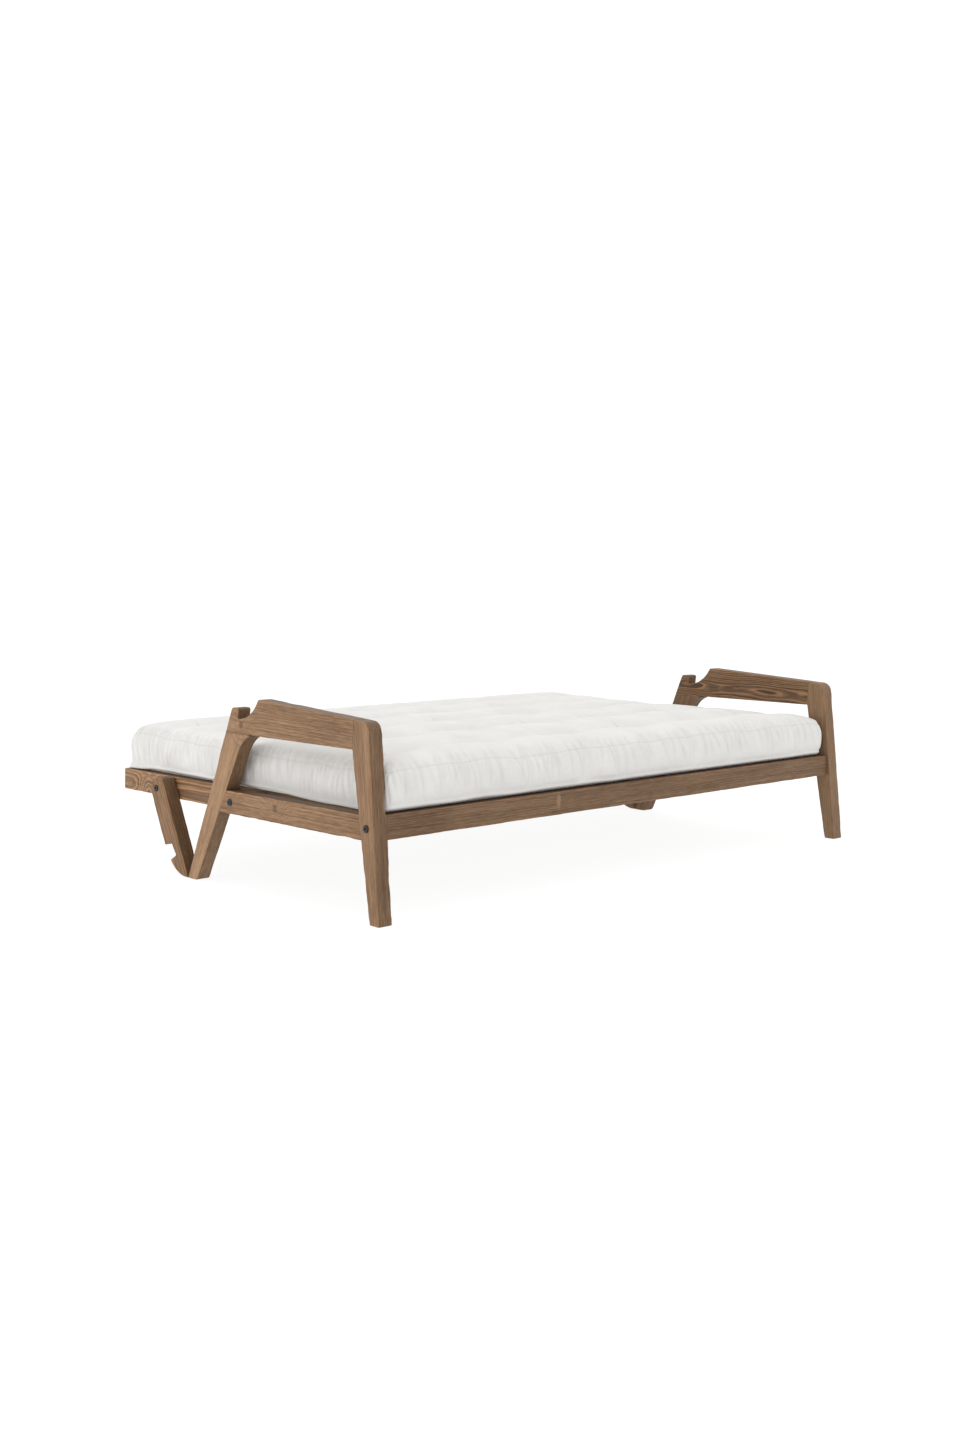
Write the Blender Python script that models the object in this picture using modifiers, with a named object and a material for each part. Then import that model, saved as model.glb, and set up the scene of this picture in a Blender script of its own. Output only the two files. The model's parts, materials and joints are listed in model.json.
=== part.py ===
"""Sofa bed: a brushed, brown-stained pine frame with a tufted cotton mattress, laid flat as a bed.

Two arm frames are joined by a slatted seat. A slatted back hinges behind the seat, and a hooked leg hangs on
each side of it. As a bed, the hooked legs stand on the floor. As a sofa, they reach over the horn behind each
armrest and hold the back up.

Metres, +Z up, with the front towards -Y. Side outlines are (y, z) points: y runs back from the toe of the
front feet and z up from the floor. The empty sofa_bed puts the middle of the footprint at the origin.
"""

import math

import bmesh
import bpy
from mathutils import Matrix, Vector

# Fits
TOUCH = 0.0003
BOLT_PLAY = 0.0003
HOOK_CLEARANCE = 0.0025
HORN_ROOM = 0.006
HOOK_FOOT_GAP = 0.003
HINGE_GAP = 0.020

# Arm frames
CLEAR_WIDTH = 1.910
ARM_THICKNESS = 0.044
ARM_HEIGHT = 0.546
ARM_RISE = 0.058
ARM_DEPTH = 0.103
FRONT_FOOT_LENGTH = 0.038
FRONT_LEG_LEAN = 0.0785
FRONT_LEG_TOP_WIDTH = 0.075
FRONT_TOP_RADIUS = 0.030
ARM_JOINT_LEAN = 0.007
REAR_FOOT_BACK = 0.892
REAR_FOOT_LENGTH = 0.047
REAR_FOOT_RADIUS = 0.012
REAR_LEG_TOP_WIDTH = 0.092
ARM_FILLET = 0.092
FILLET_LIP = 0.003
NOTCH_Y = 0.635
NOTCH_DEPTH = 0.061
NOTCH_LENGTH = 0.101
HORN_HEIGHT = 0.031
HORN_WIDTH = 0.032
HORN_LEAN = 0.005
HORN_RADIUS = 0.007
ARM_CORNER_RADIUS = 0.008
EDGE_ROUND = 0.003

# Rails and slats
RAIL_TOP = 0.278
RAIL_HEIGHT = 0.065
RAIL_THICKNESS = 0.044
FRONT_RAIL_SET = 0.010
FOLD_DROP = 0.016
BACK_RAIL_THICKNESS = 0.030
BACK_END = 1.334
BACK_END_RADIUS = 0.004
BACK_LOWER_RAIL_SET = 0.070
CLEAT_SIZE = 0.022
CLEAT_END_ROOM = 0.060
SLAT_COUNT = 8
SLAT_WIDTH = 0.070
SLAT_THICKNESS = 0.018
SLAT_SIDE_GAP = 0.030
SLAT_ROUND = 0.002

# Hooked legs
HOOK_TILT = math.radians(27.0)
HOOK_FRONT_WIDTH = 0.0423
HOOK_BACK_WIDTH = 0.032
HOOK_HEAD_RADIUS = 0.010
HOOK_LIP_HEIGHT = 0.0405
HOOK_LIP_SET = 0.0225
HOOK_LIP_RADIUS = 0.003

# Fasteners
BOLT_RADIUS = 0.004
BOLT_HEAD_RADIUS = 0.010
BOLT_HEAD_HEIGHT = 0.0035
BOLT_HEAD_CHAMFER = 0.0012
BOLT_BITE = 0.050
BARREL_NUT_RADIUS = 0.007
BARREL_NUT_LENGTH = 0.024
BARREL_NUT_SET = 0.036
INSERT_NUT_RADIUS = 0.0075
INSERT_NUT_LENGTH = 0.020
WASHER_RADIUS = 0.012
WASHER_THICKNESS = 0.002
HEX_NUT_RADIUS = 0.0075
HEX_NUT_LENGTH = 0.0065
ROUND_SIDES = 16

# Mattress
MATTRESS_SIDE_GAP = 0.010
MATTRESS_FRONT_SET = 0.006
MATTRESS_BACK_SET = 0.034
MATTRESS_EDGE_HEIGHT = 0.122
MATTRESS_CROWN = 0.028
MATTRESS_TOP_INSET = 0.030
MATTRESS_SEAM_INSET = 0.010
MATTRESS_SEAM_DROP = 0.016
MATTRESS_FOOT_INSET = 0.020
SIDE_DRAW = 0.008
CORNER_CUT = 0.012
CORNER_SHARPNESS = 24
TUFT_COLUMNS = 6
TUFT_ROWS = 5
TUFT_DEPTH = 0.024
TUFT_RADIUS = 0.050
CELLS_PER_COLUMN = 8
CELLS_PER_ROW = 6
CELLS_PAST_ROWS = 4
FOLD_MARGIN = math.radians(1.5)

# Colours as linear values
STAINED_PINE = (0.24, 0.13, 0.065, 1.0)
SLAT_PINE = (0.42, 0.27, 0.14, 1.0)
DARK_STEEL = (0.025, 0.025, 0.028, 1.0)
BRIGHT_STEEL = (0.55, 0.55, 0.56, 1.0)
COTTON = (0.80, 0.79, 0.76, 1.0)


def side_point(y, z):
    return Vector((y, z))


def on_line(edge, height):
    """The y of an edge, given as two side points, at a height."""
    low, high = edge
    return low.x + (high.x - low.x) * (height - low.y) / (high.y - low.y)


def bearing(vector):
    return math.atan2(vector.y, vector.x)


def turn(vector, angle):
    return Matrix.Rotation(angle, 2) @ vector


def crossing(point_a, along_a, point_b, along_b):
    """Where two lines of the side view cross."""
    wedge = along_a.x * along_b.y - along_a.y * along_b.x
    apart = point_b - point_a
    return point_a + along_a * ((apart.x * along_b.y - apart.y * along_b.x) / wedge)


def arc(centre, radius, start, end, steps):
    """Points round a centre from one bearing to another."""
    angles = [start + (end - start) * step / steps for step in range(steps + 1)]
    return [centre + radius * side_point(math.cos(angle), math.sin(angle)) for angle in angles]


def rounded(before, corner, after, radius, steps=4):
    """The arc that rounds a corner of an outline."""
    into = (corner - before).normalized()
    out = (after - corner).normalized()
    swing = math.atan2(into.x * out.y - into.y * out.x, into.dot(out))
    start = corner - into * radius * math.tan(abs(swing) / 2)
    inward = math.copysign(radius, swing)
    centre = start + inward * side_point(-into.y, into.x)
    first = bearing(start - centre)
    return arc(centre, radius, first, first + swing, steps)


# Planes and edges that the pieces share
INNER_FACE = CLEAR_WIDTH / 2
OUTER_FACE = INNER_FACE + ARM_THICKNESS
RAIL_BOTTOM = RAIL_TOP - RAIL_HEIGHT
BOLT_HEIGHT = RAIL_TOP - RAIL_HEIGHT / 2
ARM_UNDERSIDE = ARM_HEIGHT - ARM_DEPTH
NOTCH_FLOOR = ARM_HEIGHT - NOTCH_DEPTH
NOTCH_RADIUS = (NOTCH_LENGTH**2 + NOTCH_DEPTH**2) / (2 * NOTCH_DEPTH)
NOTCH_FOOT = side_point(NOTCH_Y, NOTCH_FLOOR)
NOTCH_CENTRE = side_point(NOTCH_Y, NOTCH_FLOOR + NOTCH_RADIUS)
ARM_CORNER = side_point(NOTCH_Y - NOTCH_LENGTH, ARM_HEIGHT)
HORN_TOP = NOTCH_FLOOR + HORN_HEIGHT
HORN_FRONT = side_point(NOTCH_Y - HORN_LEAN, HORN_TOP)
HORN_BACK = side_point(HORN_FRONT.x + HORN_WIDTH, HORN_TOP)

FRONT_EDGE = (side_point(0, 0), side_point(FRONT_LEG_LEAN * ARM_UNDERSIDE, ARM_UNDERSIDE))
FRONT_LEG_TOP_BACK = FRONT_EDGE[1] + side_point(FRONT_LEG_TOP_WIDTH, 0)
FRONT_LEG_BACK = (side_point(FRONT_FOOT_LENGTH, 0), FRONT_LEG_TOP_BACK)
REAR_LEG_BACK = (side_point(REAR_FOOT_BACK, 0), HORN_BACK)
REAR_LEG_TOP_BACK = side_point(on_line(REAR_LEG_BACK, ARM_UNDERSIDE), ARM_UNDERSIDE)
REAR_LEG_TOP_FRONT = REAR_LEG_TOP_BACK - side_point(REAR_LEG_TOP_WIDTH, 0)
REAR_LEG_FRONT = (side_point(REAR_FOOT_BACK - REAR_FOOT_LENGTH, 0), REAR_LEG_TOP_FRONT)

# The back turns on the middle of the rear legs, and each hooked leg stands just behind a rear foot.
HINGE_Y = (on_line(REAR_LEG_FRONT, BOLT_HEIGHT) + on_line(REAR_LEG_BACK, BOLT_HEIGHT)) / 2
HINGE = side_point(HINGE_Y, BOLT_HEIGHT)
HOOK_AXIS = side_point(-math.sin(HOOK_TILT), -math.cos(HOOK_TILT))
HOOK_ACROSS = side_point(math.cos(HOOK_TILT), -math.sin(HOOK_TILT))
HOOK_TOE_Y = REAR_FOOT_BACK + HOOK_FOOT_GAP
HOOK_REACH_Y = BOLT_HEIGHT * math.tan(HOOK_TILT) + HOOK_FRONT_WIDTH / math.cos(HOOK_TILT)
HOOK_PIVOT = side_point(HOOK_TOE_Y + HOOK_REACH_Y, BOLT_HEIGHT)

# The sofa pose: the lip of the hook drops into the arm's notch, in front of the horn.
LIP_DROP = BOLT_HEIGHT - HOOK_LIP_HEIGHT - HOOK_LIP_SET * math.sin(HOOK_TILT)
LIP = HOOK_PIVOT + HOOK_AXIS * LIP_DROP / math.cos(HOOK_TILT) + HOOK_ACROSS * HOOK_LIP_SET
SOFA_LIP = NOTCH_FOOT + side_point(-HOOK_CLEARANCE, HOOK_CLEARANCE)
PIVOT_RADIUS = (HOOK_PIVOT - HINGE).length
LIP_RADIUS = (LIP - HOOK_PIVOT).length
SOFA_LIP_RADIUS = (SOFA_LIP - HINGE).length
HINGE_COSINE = (PIVOT_RADIUS**2 + SOFA_LIP_RADIUS**2 - LIP_RADIUS**2) / (2 * PIVOT_RADIUS * SOFA_LIP_RADIUS)
SOFA_ANGLE = bearing(SOFA_LIP - HINGE) - math.acos(HINGE_COSINE)
SOFA_PIVOT = HINGE + turn(HOOK_PIVOT - HINGE, SOFA_ANGLE)
SOFA_HOOK_TURN = bearing(SOFA_LIP - SOFA_PIVOT) - bearing(LIP - HOOK_PIVOT)
HOOK_SWING = (SOFA_HOOK_TURN - SOFA_ANGLE) % math.tau

# Rails between the arm frames
FRONT_RAIL_FACE = on_line(FRONT_EDGE, BOLT_HEIGHT) + FRONT_RAIL_SET
FRONT_RAIL_BACK = FRONT_RAIL_FACE + RAIL_THICKNESS
REAR_RAIL_BACK = HINGE_Y - RAIL_HEIGHT / 2 - HINGE_GAP
REAR_RAIL_FRONT = REAR_RAIL_BACK - RAIL_THICKNESS
FRONT_BOLT_Y = (FRONT_RAIL_FACE + FRONT_RAIL_BACK) / 2
REAR_BOLT_Y = (REAR_RAIL_FRONT + REAR_RAIL_BACK) / 2
BACK_RAIL_OUTER = INNER_FACE - WASHER_THICKNESS - 2 * TOUCH
BACK_RAIL_INNER = BACK_RAIL_OUTER - BACK_RAIL_THICKNESS
BACK_LOWER_FRONT = HINGE_Y + BACK_LOWER_RAIL_SET
BACK_LOWER_BACK = BACK_LOWER_FRONT + BACK_RAIL_THICKNESS
BACK_TOP_FRONT = BACK_END - BACK_RAIL_THICKNESS
CLEAT_TOP = RAIL_TOP - SLAT_THICKNESS - TOUCH
SLAT_SPREAD = 2 * (BACK_RAIL_INNER - SLAT_SIDE_GAP) - SLAT_WIDTH

# The mattress lies on the slats.
MATTRESS_BOTTOM = RAIL_TOP + TOUCH
MATTRESS_HALF_WIDTH = INNER_FACE - MATTRESS_SIDE_GAP
MATTRESS_FRONT = FRONT_RAIL_FACE + MATTRESS_FRONT_SET
MATTRESS_BACK = BACK_END - MATTRESS_BACK_SET
MATTRESS_MIDDLE = (MATTRESS_FRONT + MATTRESS_BACK) / 2
MATTRESS_HALF_DEPTH = (MATTRESS_BACK - MATTRESS_FRONT) / 2
CELLS_ACROSS = TUFT_COLUMNS * CELLS_PER_COLUMN
CELLS_ALONG = (TUFT_ROWS - 1) * CELLS_PER_ROW + 2 * CELLS_PAST_ROWS
FOLD_HALF_ANGLE = SOFA_ANGLE / 2 + FOLD_MARGIN

# Turns a flat outline, drawn in its own XY plane, into the side view.
SIDE_VIEW = Matrix(((0, 0, 1), (1, 0, 0), (0, 1, 0))).to_4x4()
SIDES = {"left": -1, "right": 1}


for leftover in list(bpy.data.objects):
    bpy.data.objects.remove(leftover, do_unlink=True)

parts = bpy.data.collections.new("sofa_bed")
cutters = bpy.data.collections.new("cutters")
cutters.hide_render = True
for collection in (parts, cutters):
    bpy.context.scene.collection.children.link(collection)


def joint_empty(name, parent, place):
    """An empty on a joint's axis, at a place given from the toe of the front feet."""
    empty = bpy.data.objects.new(name, None)
    parts.objects.link(empty)
    empty["place"] = place
    if parent:
        empty.parent = parent
        empty.location = Vector(place) - Vector(parent["place"])
    return empty


def put(piece, parent, place):
    piece.parent = parent
    piece.location = Vector(place) - Vector(parent["place"])
    return piece


root = joint_empty("sofa_bed_origin", None, (0, 0, 0))
root.location = (0, -BACK_END / 2, 0)
backrest = joint_empty("backrest_hinge", root, (0, HINGE.x, HINGE.y))
hooks = {
    side: joint_empty(f"{side}_hook_hinge", backrest, (sign * OUTER_FACE, HOOK_PIVOT.x, HOOK_PIVOT.y))
    for side, sign in SIDES.items()
}


def finish(piece, colour, roughness, metallic=0.0):
    material = bpy.data.materials.new(piece.name + "_finish")
    material.use_nodes = True
    shader = material.node_tree.nodes["Principled BSDF"]
    shader.inputs["Base Color"].default_value = colour
    shader.inputs["Roughness"].default_value = roughness
    shader.inputs["Metallic"].default_value = metallic
    material.diffuse_color = colour
    piece.data.materials.append(material)


def mesh_object(name, form, collection=parts):
    mesh = bpy.data.meshes.new(name)
    form.to_mesh(mesh)
    form.free()
    piece = bpy.data.objects.new(name, mesh)
    collection.objects.link(piece)
    return piece


def round_edges(piece, width, segments):
    bevel = piece.modifiers.new("round_edges", "BEVEL")
    bevel.width = width
    bevel.segments = segments
    bevel.limit_method = "ANGLE"
    bevel.angle_limit = math.radians(50)
    bevel.use_clamp_overlap = True


def plate(name, outline, x_low, x_high, parent=root):
    """A board cut to a side outline, between two planes of x. Its origin is on its parent's axis."""
    axis = Vector(parent["place"])
    curve = bpy.data.curves.new(name, "CURVE")
    curve.dimensions = "2D"
    curve.fill_mode = "BOTH"
    curve.extrude = (x_high - x_low) / 2
    spline = curve.splines.new("POLY")
    spline.points.add(len(outline) - 1)
    for control, point in zip(spline.points, outline):
        control.co = (point.x - axis.y, point.y - axis.z, 0, 1)
    spline.use_cyclic_u = True
    drawing = bpy.data.objects.new(name + "_drawing", curve)
    parts.objects.link(drawing)
    graph = bpy.context.evaluated_depsgraph_get()
    mesh = bpy.data.meshes.new_from_object(drawing.evaluated_get(graph))
    bpy.data.objects.remove(drawing, do_unlink=True)
    form = bmesh.new()
    form.from_mesh(mesh)
    bpy.data.meshes.remove(mesh)
    bmesh.ops.remove_doubles(form, verts=form.verts, dist=0.00001)
    bmesh.ops.dissolve_limit(form, angle_limit=math.radians(0.5), verts=form.verts, edges=form.edges)
    bmesh.ops.transform(form, matrix=SIDE_VIEW, verts=form.verts)
    middle = (x_low + x_high) / 2
    bmesh.ops.translate(form, vec=(middle - axis.x, 0, 0), verts=form.verts)
    bmesh.ops.recalc_face_normals(form, faces=form.faces)
    piece = put(mesh_object(name, form), parent, axis)
    round_edges(piece, EDGE_ROUND, 2)
    finish(piece, STAINED_PINE, 0.6)
    return piece


def board(name, low, high, parent=root, edge=SLAT_ROUND, segments=1, colour=STAINED_PINE):
    """A square-cut length of timber between two corners."""
    low, high = Vector(low), Vector(high)
    form = bmesh.new()
    bmesh.ops.create_cube(form, size=1)
    bmesh.ops.scale(form, vec=high - low, verts=form.verts)
    piece = put(mesh_object(name, form), parent, (low + high) / 2)
    round_edges(piece, edge, segments)
    finish(piece, colour, 0.65)
    return piece


def cylinder(radius, start, end, sides=ROUND_SIDES):
    """A round bar between two points."""
    start, end = Vector(start), Vector(end)
    form = bmesh.new()
    length = (end - start).length
    bmesh.ops.create_cone(form, cap_ends=True, segments=sides, radius1=radius, radius2=radius, depth=length)
    facing = Vector((0, 0, 1)).rotation_difference(end - start).to_matrix().to_4x4()
    bmesh.ops.transform(form, matrix=Matrix.Translation((start + end) / 2) @ facing, verts=form.verts)
    return form


def bore(piece, radius, start, end):
    """A round hole through or into a piece, from one point to another."""
    cutter = mesh_object(f"{piece.name}_bore", cylinder(radius, start, end), cutters)
    put(cutter, root, (0, 0, 0))
    cutter.hide_render = True
    cutter.display_type = "WIRE"
    cut = piece.modifiers.new("bore", "BOOLEAN")
    cut.operation = "DIFFERENCE"
    cut.solver = "EXACT"
    cut.object = cutter


def turned(name, profile, place, sign, parent=root, colour=DARK_STEEL):
    """A turned piece along X. The profile is (radius, height) points, with its heights towards the outside."""
    form = bmesh.new()
    points = [form.verts.new((radius, 0, height)) for radius, height in profile]
    for first, second in zip(points, points[1:]):
        form.edges.new((first, second))
    piece = put(mesh_object(name, form), parent, place)
    piece.rotation_euler = (0, sign * math.pi / 2, 0)
    screw = piece.modifiers.new("turn", "SCREW")
    screw.steps = screw.render_steps = ROUND_SIDES
    screw.use_merge_vertices = True
    screw.merge_threshold = 0.00001
    finish(piece, colour, 0.45, 0.8)
    return piece


def bolt(name, shank, place, sign, parent=root):
    """A flat-headed bolt whose head seats at a place and whose shank runs inwards."""
    top = BOLT_HEAD_HEIGHT
    rim = top - BOLT_HEAD_CHAMFER
    head = [(0, top), (BOLT_HEAD_RADIUS - BOLT_HEAD_CHAMFER, top), (BOLT_HEAD_RADIUS, rim), (BOLT_HEAD_RADIUS, 0)]
    return turned(name, head + [(BOLT_RADIUS, 0), (BOLT_RADIUS, -shank), (0, -shank)], place, sign, parent)


def sleeve(name, outer, length, place, sign, parent=root):
    """A tube round a bolt: a washer or an insert nut. Its place is the middle of its inner end."""
    inner = BOLT_RADIUS + BOLT_PLAY
    profile = [(inner, length), (outer, length), (outer, 0), (inner, 0), (inner, length)]
    return turned(name, profile, place, sign, parent, BRIGHT_STEEL)


def front_leg_outline():
    top_corner = side_point(FRONT_LEG_LEAN * ARM_HEIGHT, 0)
    top_corner.y = arm_top(top_corner.x)
    joint_top = side_point(FRONT_LEG_TOP_BACK.x - ARM_JOINT_LEAN, 0)
    joint_top.y = arm_top(joint_top.x)
    corner = rounded(FRONT_EDGE[0], top_corner, joint_top, FRONT_TOP_RADIUS, 6)
    return [FRONT_EDGE[0], *corner, joint_top, FRONT_LEG_TOP_BACK, FRONT_LEG_BACK[0]]


def arm_top(y):
    """The height of the armrest's top, which rises towards the back."""
    return ARM_HEIGHT - (ARM_CORNER.x - y) * ARM_RISE


def arm_rail_outline():
    gap = side_point(TOUCH, 0)
    front_low = FRONT_LEG_TOP_BACK + gap
    front_top = side_point(front_low.x - ARM_JOINT_LEAN, 0)
    front_top.y = arm_top(front_top.x)
    start = bearing(NOTCH_FOOT - NOTCH_CENTRE)
    end = bearing(ARM_CORNER - NOTCH_CENTRE) % math.tau
    hollow = arc(NOTCH_CENTRE, NOTCH_RADIUS, start % math.tau, end, 10)
    return [
        front_low,
        REAR_LEG_TOP_BACK,
        *rounded(REAR_LEG_TOP_BACK, HORN_BACK, HORN_FRONT, HORN_RADIUS),
        *rounded(HORN_BACK, HORN_FRONT, NOTCH_FOOT, HORN_RADIUS),
        *hollow[:-1],
        *rounded(hollow[-2], ARM_CORNER, front_top, ARM_CORNER_RADIUS, 3),
        front_top,
    ]


def rear_leg_outline():
    """The leg flares under the arm in a fillet, which ends in a short square lip."""
    under_arm = side_point(REAR_LEG_TOP_FRONT.x - 1, ARM_UNDERSIDE)
    fillet = rounded(REAR_LEG_FRONT[0], REAR_LEG_TOP_FRONT, under_arm, ARM_FILLET, 10)
    fillet = [point for point in fillet if point.y < ARM_UNDERSIDE - FILLET_LIP]
    seat = ARM_UNDERSIDE - TOUCH
    return [
        *rounded(REAR_LEG_BACK[0], REAR_LEG_FRONT[0], REAR_LEG_FRONT[1], REAR_FOOT_RADIUS),
        *fillet,
        side_point(fillet[-1].x, seat),
        side_point(on_line(REAR_LEG_BACK, seat), seat),
        REAR_LEG_BACK[0],
    ]


def side_rail_outline():
    return [
        side_point(on_line(FRONT_LEG_BACK, RAIL_BOTTOM) + TOUCH, RAIL_BOTTOM),
        side_point(on_line(REAR_LEG_FRONT, RAIL_BOTTOM) - TOUCH, RAIL_BOTTOM),
        side_point(on_line(REAR_LEG_FRONT, RAIL_TOP) - TOUCH, RAIL_TOP),
        side_point(on_line(FRONT_LEG_BACK, RAIL_TOP) + TOUCH, RAIL_TOP),
    ]


def back_side_rail_outline():
    half = RAIL_HEIGHT / 2
    end_low = side_point(BACK_END, RAIL_BOTTOM)
    end_top = side_point(BACK_END, RAIL_TOP)
    return [
        *arc(HINGE, half, math.pi / 2, 3 * math.pi / 2, 12),
        *rounded(HINGE, end_low, end_top, BACK_END_RADIUS, 3),
        *rounded(end_low, end_top, HINGE, BACK_END_RADIUS, 3),
    ]


def to_bed(point):
    """Carries a point of the hooked leg from the sofa pose back to the bed."""
    return HOOK_PIVOT + turn(point - SOFA_PIVOT, -SOFA_HOOK_TURN)


def above_floor(outline):
    """The outline with what is under the floor cut off."""
    kept = []
    for first, second in zip(outline, outline[1:] + outline[:1]):
        if first.y >= 0:
            kept.append(first)
        if (first.y >= 0) != (second.y >= 0):
            kept.append(side_point(on_line((first, second), 0), 0))
    return kept


def hook_outline():
    """The end of the hook is the arm's notch and horn with play, carried back from the sofa pose."""
    front = HOOK_PIVOT - HOOK_ACROSS * HOOK_FRONT_WIDTH
    back = HOOK_PIVOT + HOOK_ACROSS * HOOK_BACK_WIDTH
    head_top = side_point(HOOK_PIVOT.x, HOOK_PIVOT.y + HOOK_BACK_WIDTH)
    head_corner = crossing(front, HOOK_AXIS, head_top, side_point(1, 0))
    head = arc(HOOK_PIVOT, HOOK_BACK_WIDTH, bearing(HOOK_ACROSS), math.pi / 2, 8)
    centre = to_bed(NOTCH_CENTRE)
    radius = NOTCH_RADIUS - HOOK_CLEARANCE
    toe = (front - centre).dot(HOOK_ACROSS) / radius
    toe_bearing = bearing(HOOK_ACROSS) - math.acos(toe)
    end = arc(centre, radius, toe_bearing, bearing(LIP - centre), 10)
    inner = to_bed(HORN_FRONT + side_point(-HOOK_CLEARANCE, HORN_ROOM))
    roof_front = to_bed(HORN_BACK + side_point(HORN_ROOM, HORN_ROOM))
    horn_back_slope = to_bed(REAR_LEG_TOP_BACK) - to_bed(HORN_BACK)
    mouth = crossing(roof_front, horn_back_slope, back, HOOK_AXIS)
    return above_floor(
        [
            *rounded(head_top, head_corner, end[0], HOOK_HEAD_RADIUS),
            *end[:-1],
            *rounded(end[-2], LIP, inner, HOOK_LIP_RADIUS, 3),
            *rounded(LIP, inner, roof_front, HOOK_LIP_RADIUS, 2),
            *rounded(inner, roof_front, mouth, HOOK_LIP_RADIUS, 2),
            *rounded(roof_front, mouth, back, HOOK_LIP_RADIUS, 3),
            *head,
        ]
    )


def make_arm_frames():
    for side, sign in SIDES.items():
        low, high = sorted((sign * INNER_FACE, sign * OUTER_FACE))
        front_leg = plate(f"{side}_front_leg", front_leg_outline(), low, high)
        plate(f"{side}_arm_rail", arm_rail_outline(), low, high)
        rear_leg = plate(f"{side}_rear_leg", rear_leg_outline(), low, high)
        side_rail = plate(f"{side}_side_rail", side_rail_outline(), low, high)
        through = [sign * (INNER_FACE - RAIL_THICKNESS), sign * (OUTER_FACE + RAIL_THICKNESS)]
        for piece, y in ((front_leg, FRONT_BOLT_Y), (side_rail, REAR_BOLT_Y)):
            bore(piece, BOLT_RADIUS + BOLT_PLAY, *[(x, y, BOLT_HEIGHT) for x in through])
        socket_end = INNER_FACE + INSERT_NUT_LENGTH + 2 * TOUCH
        socket = [sign * (INNER_FACE - WASHER_THICKNESS), sign * socket_end]
        bore(rear_leg, INSERT_NUT_RADIUS + BOLT_PLAY, *[(x, HINGE.x, HINGE.y) for x in socket])


def make_seat_rails():
    """The front and rear rails, held to the arm frames by a bolt and a barrel nut at each end."""
    half = INNER_FACE - TOUCH
    front = board(
        "front_rail",
        (-half, FRONT_RAIL_FACE, RAIL_BOTTOM),
        (half, FRONT_RAIL_BACK, RAIL_TOP),
        edge=EDGE_ROUND,
        segments=2,
    )
    rear = board(
        "seat_rear_rail",
        (-half, REAR_RAIL_FRONT, RAIL_BOTTOM),
        (half, REAR_RAIL_BACK, RAIL_TOP - FOLD_DROP),
    )
    rails = (("front_rail", front, FRONT_BOLT_Y, 1), ("rear_rail", rear, REAR_BOLT_Y, -1))
    for rail_name, rail, y, inside in rails:
        for side, sign in SIDES.items():
            place = (sign * (OUTER_FACE + TOUCH), y, BOLT_HEIGHT)
            bolt(f"{side}_{rail_name}_bolt", ARM_THICKNESS + BOLT_BITE, place, sign)
            tip = INNER_FACE - BOLT_BITE - BOLT_RADIUS
            bolt_line = [(sign * x, y, BOLT_HEIGHT) for x in (INNER_FACE + TOUCH, tip)]
            bore(rail, BOLT_RADIUS + BOLT_PLAY, *bolt_line)
            x = sign * (INNER_FACE - BARREL_NUT_SET)
            ends = [y - inside * BARREL_NUT_LENGTH / 2, y + inside * BARREL_NUT_LENGTH / 2]
            nut_form = cylinder(BARREL_NUT_RADIUS, *[(x, end, BOLT_HEIGHT) for end in ends])
            nut = put(mesh_object(f"{side}_{rail_name}_barrel_nut", nut_form), root, (0, 0, 0))
            finish(nut, BRIGHT_STEEL, 0.4, 0.9)
            bore(nut, BOLT_RADIUS + BOLT_PLAY, *bolt_line)
            nut_hole = [ends[0] - inside * TOUCH, y + inside * RAIL_THICKNESS]
            bore(rail, BARREL_NUT_RADIUS + BOLT_PLAY, *[(x, end, BOLT_HEIGHT) for end in nut_hole])


def make_slats(name, first_y, last_y, parent):
    """A row of slats from front to back, resting on a cleat at each end."""
    pitch = SLAT_SPREAD / (SLAT_COUNT - 1)
    for number in range(SLAT_COUNT):
        x = number * pitch - SLAT_SPREAD / 2
        low = (x - SLAT_WIDTH / 2, first_y + TOUCH, RAIL_TOP - SLAT_THICKNESS)
        high = (x + SLAT_WIDTH / 2, last_y - TOUCH, RAIL_TOP)
        board(f"{name}_slat_{number + 1}", low, high, parent, colour=SLAT_PINE)
    half = BACK_RAIL_INNER - CLEAT_END_ROOM
    cleats = (("front", first_y + TOUCH), ("rear", last_y - TOUCH - CLEAT_SIZE))
    for end, y in cleats:
        low = (-half, y, CLEAT_TOP - CLEAT_SIZE)
        high = (half, y + CLEAT_SIZE, CLEAT_TOP)
        board(f"{name}_{end}_cleat", low, high, parent, colour=SLAT_PINE)


def make_back_frame():
    half = BACK_RAIL_INNER - TOUCH
    board(
        "back_lower_rail",
        (-half, BACK_LOWER_FRONT, RAIL_BOTTOM),
        (half, BACK_LOWER_BACK, RAIL_TOP - FOLD_DROP),
        backrest,
    )
    board(
        "back_top_rail",
        (-half, BACK_TOP_FRONT, RAIL_BOTTOM),
        (half, BACK_END, RAIL_TOP),
        backrest,
        edge=EDGE_ROUND,
        segments=2,
    )
    for side, sign in SIDES.items():
        low, high = sorted((sign * BACK_RAIL_INNER, sign * BACK_RAIL_OUTER))
        rail = plate(f"{side}_back_side_rail", back_side_rail_outline(), low, high, backrest)
        through = [sign * (BACK_RAIL_INNER - RAIL_THICKNESS), sign * (BACK_RAIL_OUTER + RAIL_THICKNESS)]
        for axis in (HINGE, HOOK_PIVOT):
            bore(rail, BOLT_RADIUS + BOLT_PLAY, *[(x, axis.x, axis.y) for x in through])


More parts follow.
